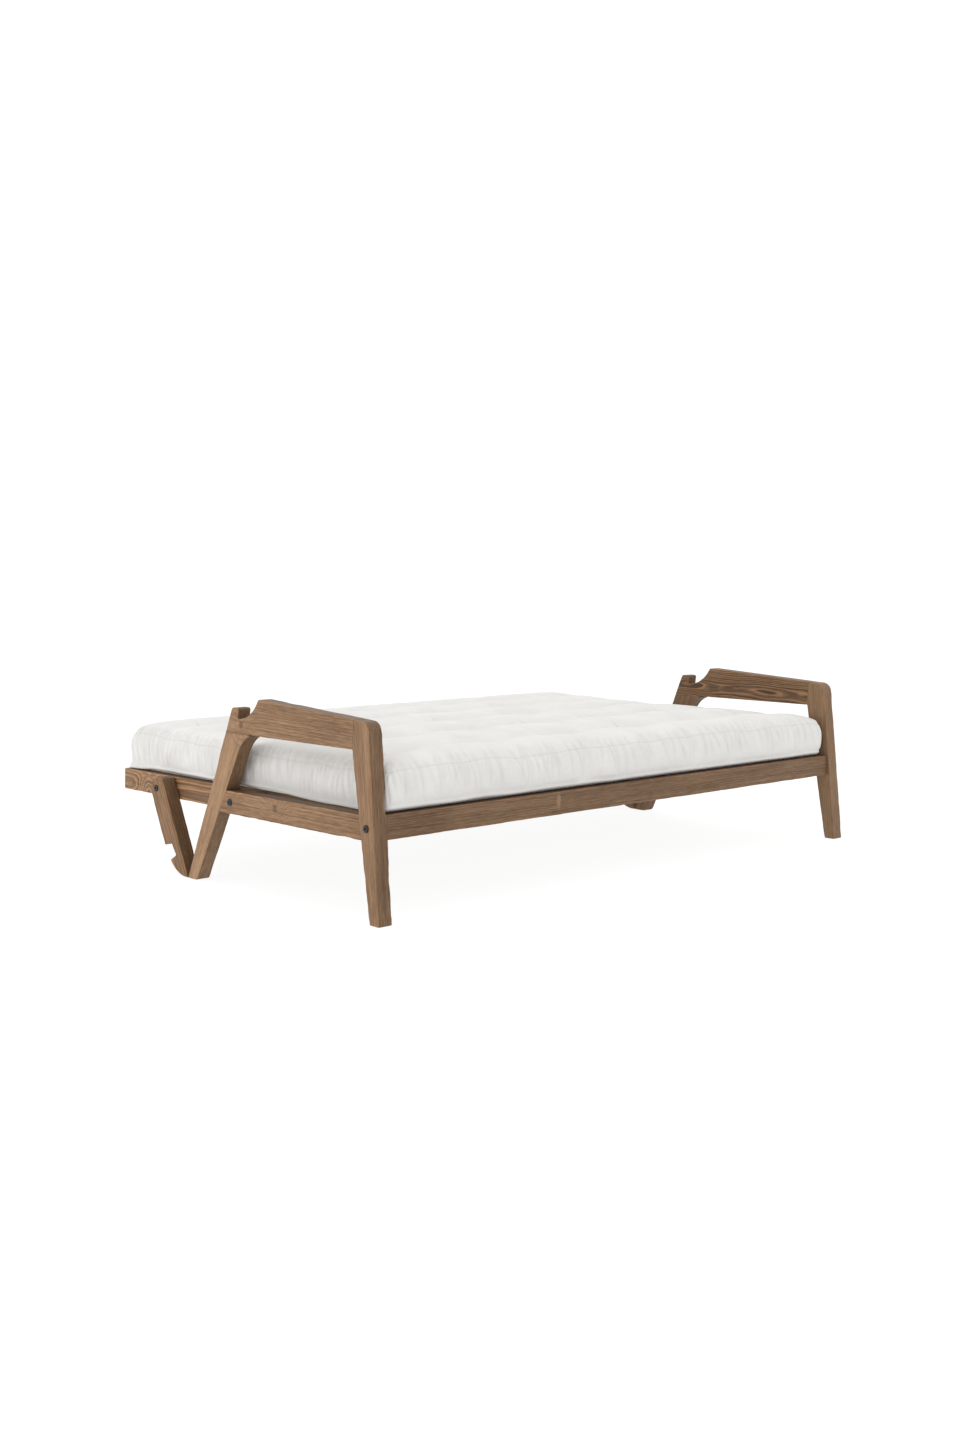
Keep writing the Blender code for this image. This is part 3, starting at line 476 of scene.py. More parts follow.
def make_pine(
    name,
    ring_pitch=0.0042,
    figure=1.0,
    latewood=0.35,
    late_band=(0.42, 0.85),
    earlywood=0.15,
    stain=STAIN,
    knot_at=None,
    heart=0.0,
    heart_colour=BROWN_KNOT,
    squeeze=(1, 1, 1),
):
    """Pine with its stain. A knot has a place, a radius and the number of rings that swell round it."""
    material, tree, shader = new_material(name)
    grain = attribute(tree, "grain")["Vector"]
    inputs = {"Grain": grain, "Ring Pitch": ring_pitch, "Figure": figure}
    inputs["Late Start"], inputs["Late Full"] = late_band
    if knot_at:
        place, radius, rings = knot_at
        branch = {"Place": place, "Radius": radius, "Squeeze": squeeze}
        spot = add(tree, "ShaderNodeGroup", branch, node_tree=knot).outputs
        inputs["Swelling"] = calc(tree, "MULTIPLY", spot["Halo"], rings)
    wood = add(tree, "ShaderNodeGroup", inputs, node_tree=pine_grain).outputs
    rim = {"Edge": attribute(tree, "edge")["Fac"], "Grain": grain, "Amount": EDGE_FADE}
    worn = add(tree, "ShaderNodeGroup", rim, node_tree=edge_wear).outputs["Wear"]
    # The board's tone, which holds painted shadow on the rails' upward faces under the mattress.
    tone = calc(tree, "ADD", wood["Tone"], attribute(tree, "board")["Fac"])
    colour = shades(tree, tone, stain)
    dark = tuple(LATE_SHADE * part for part in stain[1][1])
    warm = tuple(tint * part for tint, part in zip(WARM_TINT, stain[-1][1]))
    colour = mixed(tree, calc(tree, "MULTIPLY", wood["Latewood"], latewood), colour, (*dark, 1.0))
    colour = mixed(tree, calc(tree, "MULTIPLY", wood["Earlywood"], earlywood), colour, (*warm, 1.0))
    if heart:
        colour = mixed(tree, calc(tree, "MULTIPLY", spot["Heart"], heart), colour, (*heart_colour, 1.0))
    colour = mixed(tree, worn, colour, (*warm, 1.0))
    tree.links.new(colour, shader.inputs["Base Color"])
    rough = between(tree, wood["Tone"], 0.2, 0.8, 0.60, 0.46, smooth=False)
    tree.links.new(rough, shader.inputs["Roughness"])
    shader.inputs["Specular IOR Level"].default_value = 0.22
    bump = add(tree, "ShaderNodeBump", {"Height": wood["Height"], "Strength": 0.35, "Distance": 0.0009})
    tree.links.new(bump.outputs["Normal"], shader.inputs["Normal"])
    return material


plain_pine = make_pine("stained_pine")
figured_pine = make_pine("figured_pine", figure=7.0, latewood=0.84, late_band=(0.46, 0.58), earlywood=0.75)
swirled_pine = make_pine(
    "swirled_pine",
    ring_pitch=0.0065,
    figure=1.6,
    latewood=0.80,
    late_band=(0.45, 0.66),
    earlywood=0.60,
    knot_at=((-0.9524, 0.5216, 0.2224), 0.016, 6.0),
    squeeze=(1, 1, 1.25),
)
arm_pine = make_pine("knotted_arm_pine", knot_at=((-0.999, -0.0504, 0.4694), 0.0115, 4.0), heart=0.8)
rail_pine = make_pine("knotted_rail_pine", knot_at=((-0.999, -0.2148, 0.2515), 0.0125, 4.0), heart=0.75)
spiked_pine = make_pine(
    "spike_knotted_pine",
    knot_at=((-0.3225, -0.6377, 0.2530), 0.0095, 3.0),
    heart=0.7,
    heart_colour=PALE_KNOT,
    squeeze=(1, 1, 0.42),
)
slat_pine = make_pine("slat_pine", stain=RAW_STAIN)
OWN_PINE = {
    "right_arm_rail": figured_pine,
    "left_back_side_rail": swirled_pine,
    "left_arm_rail": arm_pine,
    "left_rear_leg": arm_pine,
    "left_side_rail": rail_pine,
    "front_rail": spiked_pine,
}


# Timber pieces


def body_of(node):
    return frame["nodes"][node]["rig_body"]


def finished(name, form, material, smooth_angle=50):
    """Turns a form into a piece with its place in its mesh."""
    mesh = bpy.data.meshes.new(name)
    form.to_mesh(mesh)
    form.free()
    mesh.materials.append(material)
    mesh.shade_smooth()
    mesh.set_sharp_from_angle(angle=math.radians(smooth_angle))
    piece = bpy.data.objects.new(name, mesh)
    scene.collection.objects.link(piece)
    return piece


def timber_form(node):
    """The node's solid as flat faces instead of loose triangles."""
    form = bmesh.new()
    form.from_mesh(frame["nodes"][node].data)
    bmesh.ops.remove_doubles(form, verts=form.verts, dist=MERGE_GAP)
    bmesh.ops.dissolve_limit(form, angle_limit=math.radians(1), verts=form.verts, edges=form.edges)
    return form


def furthest(item, along):
    """How far along the grain a vertex, an edge or a face reaches."""
    return max(vert.co.dot(along) for vert in getattr(item, "verts", [item]))


def cut_across(form, along):
    """Cuts every face across the grain, so that the edges can wander."""
    reach = [vert.co.dot(along) for vert in form.verts]
    low, high = min(reach), max(reach)
    cuts = int((high - low) / CUT_SPACING)
    ahead = [*form.verts, *form.edges, *form.faces]
    for cut in range(1, cuts):
        level = low + (high - low) * cut / cuts
        plane = {"plane_co": along * level, "plane_no": along}
        ahead = bmesh.ops.bisect_plane(form, geom=ahead, dist=CUT_GAP, **plane)["geom"]
        ahead = [item for item in ahead if furthest(item, along) > level]
    form.normal_update()


def rub(place, seed):
    """How far brushing has rounded an edge at a place, as a multiple of its first rounding."""
    spot = place + Vector([seed * step for step in RUB_STEP])
    hollow = max(0.0, noise.noise(spot * HOLLOW_SCALE) - HOLLOW_START)
    wave = noise.noise(spot * WAVE_SCALE)
    nick = noise.noise(spot * NICK_SCALE)
    amount = USUAL_RUB + HOLLOW_RUB * hollow + WAVE_RUB * wave + NICK_RUB * nick
    return min(MOST_RUB, max(LEAST_RUB, amount))


def neighbours_of(node):
    """The surfaces of the other boards of the same arm frame, to find glued joints."""
    side = node.split("_")[0]
    corners, faces = [], []
    for other in (f"{side}_{kind}" for kind in GLUED):
        if other != node:
            mesh = frame["nodes"][other].data
            start = len(corners)
            corners += [vert.co.copy() for vert in mesh.vertices]
            faces += [[start + corner for corner in face.vertices] for face in mesh.polygons]
    return BVHTree.FromPolygons(corners, faces)


def brush_plate(form, low, high, seed, wear, joined):
    """Rounds the edges of a board that was cut to a side outline, and returns its points at glued joints."""
    edge = form.verts.layers.float.new("edge")
    depth = {vert: min(vert.co.x - low.x, high.x - vert.co.x) for vert in form.verts}
    first_round = max(gap for gap in depth.values() if gap < ROUND_LIMIT)
    middle = (low.x + high.x) / 2
    moves, joints = [], set()
    for vert, gap in depth.items():
        rim = Vector((0, vert.normal.y, vert.normal.z))
        if gap > PAST_ROUND * first_round or rim.length < FLAT_RIM:
            continue
        others = [link.other_vert(vert) for link in vert.link_edges]
        on_face = gap < ON_FACE * first_round
        if on_face and not any(ON_FACE < depth[other] / first_round < MIDDLE_END for other in others):
            continue
        rim.normalize()
        out = Vector((math.copysign(1, vert.co.x - middle), 0, 0))
        if on_face:
            to_corner = rim * first_round
        elif gap > ON_RIM * first_round:
            to_corner = out * first_round
        else:
            to_corner = (rim + out) * (MIDDLE_TO_CORNER * first_round)
            vert[edge] = 1.0
        corner = vert.co + to_corner
        row = [(other.co - vert.co).length for other in others if abs(other.co.x - vert.co.x) < SAME_PLANE]
        room = min(1.0, max(0.0, (min(row, default=0) - ROOM_START) / ROOM_SPAN))
        amount = 1 + (rub(corner, seed) - 1) * wear * room
        if joined and joined.find_nearest(corner, JOINT_REACH)[0]:
            amount = JOINT_EDGE
            vert[edge] = 0.0
            joints.add(vert)
        moves.append((vert, to_corner * (1 - amount)))
    for vert, move in moves:
        vert.co += move
    return joints


def brush_board(form, low, high, seed, most):
    """Rounds the edges of a square-cut length of timber, more in one place than another."""
    edge = form.verts.layers.float.new("edge")
    length = max(range(3), key=lambda axis: high[axis] - low[axis])
    gaps = []
    for vert in form.verts:
        gaps.append([min(vert.co[axis] - low[axis], high[axis] - vert.co[axis]) for axis in range(3)])
    first_round = max(gap for row in gaps for gap in row if gap < ROUND_LIMIT)
    for vert, row in zip(list(form.verts), gaps):
        near = [axis for axis in range(3) if row[axis] < PAST_ROUND * first_round]
        if len(near) < 2:
            continue
        amount = END_EDGE if length in near else min(most, rub(vert.co, seed))
        if all(ON_FACE < row[axis] / first_round < MIDDLE_END for axis in near):
            vert[edge] = 1.0
        for axis in near:
            inward = 1 if vert.co[axis] - low[axis] < high[axis] - vert.co[axis] else -1
            vert.co[axis] += inward * row[axis] * (amount - 1)


def lay_grain(form, along, seed, node, joints):
    """Each point's place in the tree that the board was cut from, with Z along the tree, and its tone, with
    painted shadow on the upward faces of the rails that the mattress lies over.
    """
    layer = form.verts.layers.float_vector.new("grain")
    board = form.verts.layers.float.new("board")
    side = Vector((0, 1, 0)) if abs(along.x) > 0.5 else Vector((1, 0, 0))
    over = along.cross(side).normalized()
    if node in FLAT_SAWN:
        low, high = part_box(node)
        turn = Matrix.Identity(2)
        heart = Vector((FLAT_HEART - low.dot(side), FLAT_SAWN[node] - ((low + high) / 2).dot(over)))
    else:
        turn = Matrix.Rotation(FIRST_TURN + TURN_STEP * seed, 2)
        across = HEART_PLACE + HEART_ACROSS * math.sin(seed * ACROSS_STEP)
        heart = Vector((across, HEART_UP * math.cos(seed * UP_STEP)))
    tone = BOARD_TONE.get(node, TONE_SPREAD * math.sin(seed * TONE_STEP))
    # Painted shadow: the upward faces of these rails are darkened where the mattress lies over them.
    shaded_top = node.endswith(("front_rail", "side_rail", "top_rail"))
    for vert in form.verts:
        place = turn @ Vector((vert.co.dot(side), vert.co.dot(over))) + heart
        vert[layer] = (place.x, place.y, vert.co.dot(along) + seed * GRAIN_SHIFT)
        vert[board] = tone
        if shaded_top and max(face.normal.z for face in vert.link_faces) > 0.99:
            vert[board] = UNDER_MATTRESS_SHADE
        elif vert in joints:
            vert[board] = JOINT_TONE


def make_timber():
    nodes = [name for name in frame["nodes"] if name.endswith(("leg", "rail", "cleat")) or "slat" in name]
    for seed, node in enumerate(sorted(nodes)):
        low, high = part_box(node)
        form = timber_form(node)
        kind = node.removeprefix("left_").removeprefix("right_")
        bare = "slat" in kind or "cleat" in kind
        if kind == "hook_leg":
            along = HOOK_LEAN
        elif kind in CUT_TO_OUTLINE or "slat" in kind:
            along = LEAN.get(kind, Vector((0, 1, 0))).normalized()
        else:
            along = Vector((1, 0, 0))
        cut_across(form, along)
        if kind in CUT_TO_OUTLINE:
            wear = PLATE_WEAR.get(node, USUAL_WEAR)
            joints = brush_plate(form, low, high, seed, wear, neighbours_of(node) if kind in GLUED else None)
        else:
            joints = ()
            brush_board(form, low, high, seed, SLAT_RUB if bare else RAIL_RUB)
        lay_grain(form, along, seed, node, joints)
        material = slat_pine if bare else OWN_PINE.get(node, plain_pine)
        piece = finished(f"{node}_board", form, material, FACET_ANGLE)
        flat = piece.modifiers.new("flat_faces", "WEIGHTED_NORMAL")
        flat.weight = FACET_WEIGHT
        flat.keep_sharp = True
        if not bare:
            timber.objects.link(piece)
        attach(piece, body_of(node))
        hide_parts(node)


# Fasteners


def make_steel(name, colour, roughness, metallic, scratch):
    material, tree, shader = new_material(name)
    here = add(tree, "ShaderNodeTexCoord").outputs["Object"]
    patina = grainy(tree, here, 240.0, detail=4.0, roughness=0.65)
    pale = tuple(min(1.0, 1.9 * part + 0.004) for part in colour)
    tree.links.new(shades(tree, patina, ((0.30, colour), (0.75, pale))), shader.inputs["Base Color"])
    rough = between(tree, patina, 0.3, 0.7, roughness - 0.08, roughness + 0.12)
    tree.links.new(rough, shader.inputs["Roughness"])
    shader.inputs["Metallic"].default_value = metallic
    turning = grainy(tree, here, 1800.0, detail=2.0)
    bump = add(tree, "ShaderNodeBump", {"Height": turning, "Strength": scratch, "Distance": 0.0002})
    tree.links.new(bump.outputs["Normal"], shader.inputs["Normal"])
    return material


dark_steel = make_steel("dark_steel", (0.014, 0.014, 0.016), 0.42, 0.35, 0.15)
zinc = make_steel("zinc_plate", (0.42, 0.42, 0.43), 0.34, 1.0, 0.25)


def bolt_form(shank):
    """A flat-headed bolt along Z with a rounded rim and a hexagon socket. Its head seats at the origin."""
    form = bmesh.new()
    floor = HEAD_HEIGHT - SOCKET_DEPTH
    turns = [math.radians(90 / RIM_STEPS * step) for step in range(RIM_STEPS + 1)]
    rim = [
        (HEAD_RADIUS - RIM_ROUND * (1 - math.sin(turn)), HEAD_HEIGHT - RIM_ROUND * (1 - math.cos(turn)))
        for turn in turns
    ]
    profile = [(0, floor), (SOCKET_HALF_WIDTH, floor), (SOCKET_HALF_WIDTH, HEAD_HEIGHT), *rim]
    profile += [(HEAD_RADIUS, 0), (SHANK_RADIUS, 0), (SHANK_RADIUS, -shank), (0, -shank)]
    points = [form.verts.new((radius, 0, height)) for radius, height in profile]
    lines = [form.edges.new(ends) for ends in zip(points, points[1:])]
    bmesh.ops.spin(
        form,
        geom=[*points, *lines],
        cent=(0, 0, 0),
        axis=(0, 0, 1),
        angle=math.tau,
        steps=BOLT_SIDES,
        use_merge=True,
    )
    bmesh.ops.remove_doubles(form, verts=form.verts, dist=MERGE_GAP)
    for vert in form.verts:
        reach = vert.co.to_2d()
        if vert.co.z > 0 and abs(reach.length - SOCKET_HALF_WIDTH) < 0.0001:
            turn = (math.atan2(reach.y, reach.x) + math.radians(30)) % math.radians(60) - math.radians(30)
            vert.co.xy = reach / math.cos(turn)
    bmesh.ops.recalc_face_normals(form, faces=form.faces)
    return form


def make_bolts():
    for name in sorted(frame["nodes"]):
        if not name.endswith("_bolt"):
            continue
        low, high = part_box(name)
        out = 1 if name.startswith("right") else -1
        if "back_pivot" in name:
            out = -out
        seat = high.x - HEAD_HEIGHT if out > 0 else low.x + HEAD_HEIGHT
        form = bolt_form(high.x - low.x - HEAD_HEIGHT)
        place = Vector((seat, (low.y + high.y) / 2, (low.z + high.z) / 2))
        facing = Matrix.Rotation(out * math.pi / 2, 4, "Y")
        bmesh.ops.transform(form, matrix=Matrix.Translation(place) @ facing, verts=form.verts)
        piece = finished(f"{name}_turned", form, dark_steel, 40)
        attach(piece, body_of(name))
        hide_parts(name)
    for name, node in frame["nodes"].items():
        if name.endswith(("nut", "washer")):
            node.data.materials.clear()
            node.data.materials.append(zinc)


# Cotton mattress


def make_weave():
    """Plain-woven cotton: crossed threads with slubs, read from the cloth's own coordinates in metres."""
    sockets = [("Cloth", "NodeSocketVector", (0, 0, 0))]
    group, given, out = new_group("cotton_weave", sockets, ["Height", "Slub"])
    cloth = given["Cloth"]
    warp = grainy(group, stretched(group, cloth, (900, 40, 60)), 1.0, detail=2.0)
    weft = grainy(group, stretched(group, cloth, (40, 900, 900)), 1.0, detail=2.0)
    slub = grainy(group, stretched(group, cloth, (30, 160, 160)), 1.0, detail=3.0)
    group.links.new(calc(group, "ADD", warp, weft), out["Height"])
    group.links.new(slub, out["Slub"])
    return group


cotton_weave = make_weave()


def make_cotton():
    material, tree, shader = new_material("natural_cotton")
    here = add(tree, "ShaderNodeTexCoord").outputs["Object"]
    cloth = add(tree, "ShaderNodeGroup", {"Cloth": here}, node_tree=cotton_weave).outputs
    mottle = grainy(tree, here, 11.0, detail=3.0)
    tone = calc(tree, "MULTIPLY_ADD", calc(tree, "SUBTRACT", cloth["Slub"], 0.5), 0.35, mottle)
    colour = shades(tree, tone, ((0.25, (0.635, 0.625, 0.602)), (0.75, (0.690, 0.683, 0.663))))
    # The seam mark tints the cloth with the thread's colour and paints shade along the stitch line.
    seam = calc(tree, "MULTIPLY", attribute(tree, "seam")["Fac"], SEAM_THREAD_AND_SHADE_SHARE)
    colour = mixed(tree, seam, colour, SEAM_THREAD_AND_SHADE_COLOUR)
    # Painted shade: the cloth is darkened in its pleats, creases and tuft dimples, and on the base under the
    # tufts.
    fold_shade = calc(tree, "MULTIPLY", attribute(tree, "fold_shade")["Fac"], FOLD_SHADE_SHARE)
    colour = mixed(tree, fold_shade, colour, FOLD_SHADE_COLOUR)
    tree.links.new(colour, shader.inputs["Base Color"])
    shader.inputs["Roughness"].default_value = 0.92
    shader.inputs["Specular IOR Level"].default_value = 0.20
    shader.inputs["Sheen Weight"].default_value = 0.03
    shader.inputs["Sheen Roughness"].default_value = 0.6
    bump = add(tree, "ShaderNodeBump", {"Height": cloth["Height"], "Strength": 0.25, "Distance": 0.0006})
    tree.links.new(bump.outputs["Normal"], shader.inputs["Normal"])
    return material


def tuft_places():
    """The tufts in plan, in rows that are staggered by half a pitch."""
    for row, y in enumerate(TUFT_ROWS):
        columns = 5 if row % 2 else 6
        for column in range(columns):
            yield Vector(((column - (columns - 1) / 2) * TUFT_PITCH, y))


TUFTS = list(tuft_places())


def plan_point(u, v, inset):
    """A point of the mattress in plan, u and v from -1 to 1. Its sides draw in, its front corners are round."""
    half_x = HALF_WIDTH - inset - SIDE_DRAW * (1 - v**2)
    half_y = HALF_DEPTH - inset - (SIDE_DRAW if v < 0 else BACK_DRAW) * (1 - u**2)
    x, y = u * half_x, v * half_y
    corner = FRONT_CORNER if v < 0 else BACK_CORNER
    past_x, past_y = abs(x) - half_x + corner, abs(y) - half_y + corner
    if past_x > 0 and past_y > 0:
        pull = max(past_x, past_y) / math.hypot(past_x, past_y)
        x = math.copysign(half_x - corner + past_x * pull, x)
        y = math.copysign(half_y - corner + past_y * pull, y)
    return Vector((x, y + MATTRESS_MIDDLE))


def rim_place(plan):
    """Where a point in plan is along the mattress's rim, and how far in from it."""
    x, y = plan.x, plan.y - MATTRESS_MIDDLE
    in_x, in_y = HALF_WIDTH - abs(x), HALF_DEPTH - abs(y)
    if in_y < in_x:
        return (x if y < 0 else 2 * HALF_DEPTH + 2 * HALF_WIDTH - x), in_y
    return (HALF_WIDTH + y + HALF_DEPTH if x > 0 else -HALF_WIDTH - y - HALF_DEPTH), in_x


def eased(value, low, high):
    share = min(1.0, max(0.0, (value - low) / (high - low)))
    return share * share * (3 - 2 * share)


def crown_height(u, v):
    """The height of the untufted top: full in the middle, settled along the sides, higher along the back."""
    side = SIDE_HEIGHT + BACK_RISE * eased(v, *BACK_RISE_SPAN) + FRONT_RISE * eased(-v, *FRONT_RISE_SPAN)
    end = BACK_HEIGHT if v > 0 else FRONT_HEIGHT
    drop = math.hypot((TOP_HEIGHT - side) * u**EDGE_POWER, (TOP_HEIGHT - end) * v**EDGE_POWER)
    return TOP_HEIGHT - drop


def top_height(u, v, plan):
    """The height of the top above the base before it is stuffed."""
    dips = 0.0
    for tuft in TUFTS:
        off = plan - tuft
        reach = TUFT_NEAR if off.y < 0 else TUFT_FAR
        dips += math.exp(-((off.x / TUFT_REACH) ** 2) - (off.y / reach) ** 2)
    rows = sum(math.exp(-(((plan.y - y) / ROW_RADIUS) ** 2)) for y in TUFT_ROWS)
    return crown_height(u, v) - TUFT_DEPTH * min(1.0, dips) - ROW_DEPTH * rows * (1 - u**ROW_POWER)


def mattress_form():
    """A closed form of square cells: a tufted top, seamed sides and a flat base."""
    form = bmesh.new()
    level_layer = form.verts.layers.float.new("level")
    pin_layer = form.verts.layers.float.new("pin")
    bmesh.ops.create_grid(form, x_segments=CELLS_ACROSS, y_segments=CELLS_ALONG, size=1)
    grown = bmesh.ops.extrude_face_region(form, geom=form.faces[:], use_keep_orig=True)["geom"]
    raised = [item for item in grown if isinstance(item, bmesh.types.BMVert)]
    bmesh.ops.translate(form, vec=(0, 0, 1), verts=raised)
    upright = [line for line in form.edges if abs(line.verts[0].co.z - line.verts[1].co.z) > 0.5]
    bmesh.ops.subdivide_edges(form, edges=upright, cuts=len(SIDE_PROFILE))
    for vert in form.verts:
        u, v, level = vert.co.x, vert.co.y, round(vert.co.z * TOP_LEVEL)
        rim = max(abs(u), abs(v)) > AT_RIM
        at_foot = rim and level <= FOOT_SEAM_LEVEL
        at_back_foot = at_foot and v > AT_RIM
        if level == 0:
            inset, height = FOOT if rim else (FOOT[0], 0.0)
        elif level < TOP_LEVEL:
            inset, height = SIDE_PROFILE[level - 1]
            inset += FRONT_WELT if level < FOOT_SEAM_LEVEL and v < -AT_RIM else 0.0
            height -= SETTLED[level] * (EDGE_HEIGHT - crown_height(u, v))
        else:
            inset = TOP_INSET
            height = top_height(u, v, plan_point(u, v, inset))
        if rim and level < TOP_LEVEL and not at_back_foot:
            wander = noise.noise(Vector((u * WANDER_ACROSS, v * WANDER_ALONG, WANDER_UP * level)))
            height += SEAM_WANDER * wander * (FOOT_WANDER if at_foot else 1.0)
        if at_back_foot:
            inset -= BACK_FLARE
            height -= SIDE_SAG
        plan = plan_point(u, v, inset)
        if at_foot and abs(v) < AT_RIM:
            sag = SIDE_SAG + SIDE_HANG * eased(plan.y, *HANG_SPAN)
            height -= sag * eased(-plan.y, *SEAT_SAG_SPAN) + SIDE_SAG * eased(plan.y, *BACK_SAG_SPAN)
        vert.co = (plan.x, plan.y, MATTRESS_BASE + height)
        vert[level_layer] = level
        tufted = level == TOP_LEVEL and min((plan - tuft).length for tuft in TUFTS) < TUFT_HOLD
        vert[pin_layer] = 1.0 if level <= FOOT_SEAM_LEVEL or tufted else 0.0
    bmesh.ops.recalc_face_normals(form, faces=form.faces)
    return form


def stuff(piece):
    """Swells the cover with its filling, held at its tufts and its foot."""
    pins = piece.vertex_groups.new(name="held")
    held = [index for index, pin in enumerate(piece.data.attributes["pin"].data) if pin.value > 0.5]
    pins.add(held, 1.0, "REPLACE")
    cloth = piece.modifiers.new("stuffing", "CLOTH")
    cloth.settings.quality = 6
    cloth.settings.mass = 0.25
    cloth.settings.tension_stiffness = cloth.settings.compression_stiffness = 18
    cloth.settings.bending_stiffness = 0.6
    cloth.settings.vertex_group_mass = "held"
    cloth.settings.use_pressure = True
    cloth.settings.uniform_pressure_force = STUFFING_PRESSURE
    cloth.settings.shrink_min = -0.01
    cloth.settings.effector_weights.gravity = 0
    cloth.collision_settings.use_collision = False
    for number in range(1, STUFFING_FRAMES + 1):
        scene.frame_set(number)
    stuffed = bpy.data.meshes.new_from_object(piece.evaluated_get(bpy.context.evaluated_depsgraph_get()))
    for vert, swollen in zip(piece.data.vertices, stuffed.vertices):
        move = swollen.co - vert.co
        vert.co += move * min(1.0, SWELL_LIMIT / max(move.length, 0.0001))
    bpy.data.meshes.remove(stuffed)
    piece.modifiers.remove(cloth)
    piece.vertex_groups.remove(pins)
    scene.frame_set(1)


def seam_climb(level, plan):
    """How far up the cover a point is from the seam, measured over the cloth."""
    rows = (FOOT, *SIDE_PROFILE, (TOP_INSET, EDGE_HEIGHT))
    steps = [math.dist(low, high) for low, high in zip(rows, rows[1:])]
    whole = min(int(level), len(steps))
    climb = sum(steps[:whole]) - sum(steps[:SEAM_LEVEL])
    if level < TOP_LEVEL:
        return climb + steps[whole] * (level - whole)
    return climb + max(0.0, rim_place(plan)[1] - TOP_INSET)


def make_pleats():
    """The pleats that the seam draws into the cover, in order along the rim."""
    dice = random.Random(11)
    place, end = -2.2 * HALF_WIDTH - 2 * HALF_DEPTH, 3.2 * HALF_WIDTH + 2 * HALF_DEPTH
    pleats = []
    while place < end:
        crowd = 0.5 + 0.5 * noise.noise(Vector((place * CROWD_SCALE, 0.5, 0)))
        gather = FRONT_GATHER if abs(place) < HALF_WIDTH else SIDE_GATHER
        kind = MAIN_PLEAT if dice.random() < gather["main"] else FINE_PLEAT
        pleat = {"place": place, "slant": dice.gauss(*PLEAT_SLANT)}
        for measure in ("width", "depth", "up", "down"):
            pleat[measure] = dice.uniform(*kind[measure])
        pleat["depth"] *= gather["pull"]
        pleat["down"] *= gather["fall"]
        pleats.append(pleat)
        place += dice.uniform(*PLEAT_STEP) + PLEAT_SPARE * (1 - crowd)
    return pleats


PLEATS = make_pleats()
PLEAT_PLACES = [pleat["place"] for pleat in PLEATS]


def pleat_depth(place, climb):
    """How deep the gathers are at a place along the rim and up the cover."""
    total = 0.0
    first = bisect_left(PLEAT_PLACES, place - PLEAT_REACH)
    last = bisect_left(PLEAT_PLACES, place + PLEAT_REACH)
    for pleat in PLEATS[first:last]:
        reach = 1 - climb / pleat["up"] if climb > 0 else 1 + climb / pleat["down"]
        if reach > 0:
            off = (place - pleat["place"] - pleat["slant"] * climb) / pleat["width"]
            total += pleat["depth"] * math.exp(-off * off) * min(1.0, PLEAT_FULL * reach)
    return PLEAT_LIMIT * math.tanh(total / PLEAT_LIMIT)


def make_creases():
    """The short folds that spread from each tuft: the direction, length and depth of each."""
    dice = random.Random(5)
    creases = []
    for tuft in TUFTS:
        folds = []
        for heading, length, depth in CREASE_SPREAD:
            turn = math.radians(heading + dice.uniform(*CREASE_TURN))
            aim = Vector((math.sin(turn), math.cos(turn)))
            folds.append((aim, length * dice.uniform(*CREASE_LENGTHS), depth * dice.uniform(*CREASE_DEPTHS)))
        creases.append((tuft, folds))
    return creases


CREASES = make_creases()


def near_crease(plan):
    for tuft in TUFTS:
        if abs(plan.x - tuft.x) < CREASED_SIDE and -CREASED_SIDE < plan.y - tuft.y < CREASED_BACK:
            return True
    return False


def crease_depth(plan):
    """How deep the folds round the tufts are at a place, and how far it is into a tuft's dimple."""
    depth = dimple = 0.0
    for tuft, folds in CREASES:
        off = plan - tuft
        if off.length < CREASE_REACH:
            dimple = math.exp(-((off.length / DIMPLE_RADIUS) ** 2))
            depth = PIT_DEPTH * math.exp(-((off.length / PIT_RADIUS) ** 2))
            for aim, length, most in folds:
                ahead = off.dot(aim)
                if 0 < ahead < length:
                    aside = off.cross(aim) / CREASE_WIDTH
                    depth = max(depth, most * (1 - ahead / length) * math.exp(-aside * aside))
    return depth, dimple


def base_height(plan):
    """The height of the base, which swells between the slats, and how far it is drawn up under a tuft."""
    bay = plan.x / SLAT_PITCH - round(plan.x / SLAT_PITCH)
    swell = max(0.0, 1 - (bay * SLAT_PITCH / HALF_BAY) ** 2) if abs(plan.x) < LAST_BAY else 0.0
    seat = eased(plan.y, *SEAT_BAY_START) * eased(-plan.y, *SEAT_BAY_END)
    back = eased(plan.y, *BACK_BAY_START) * eased(-plan.y, *BACK_BAY_END)
    gaps = [math.hypot(plan.x - tuft.x, plan.y - tuft.y) for tuft in TUFTS]
    drawn = max(math.exp(-((gap / BASE_TUFT_RADIUS) ** 2)) for gap in gaps)
    return MATTRESS_BASE - BASE_SWELL * swell * max(seat, back) + BASE_TUFT * drawn, drawn


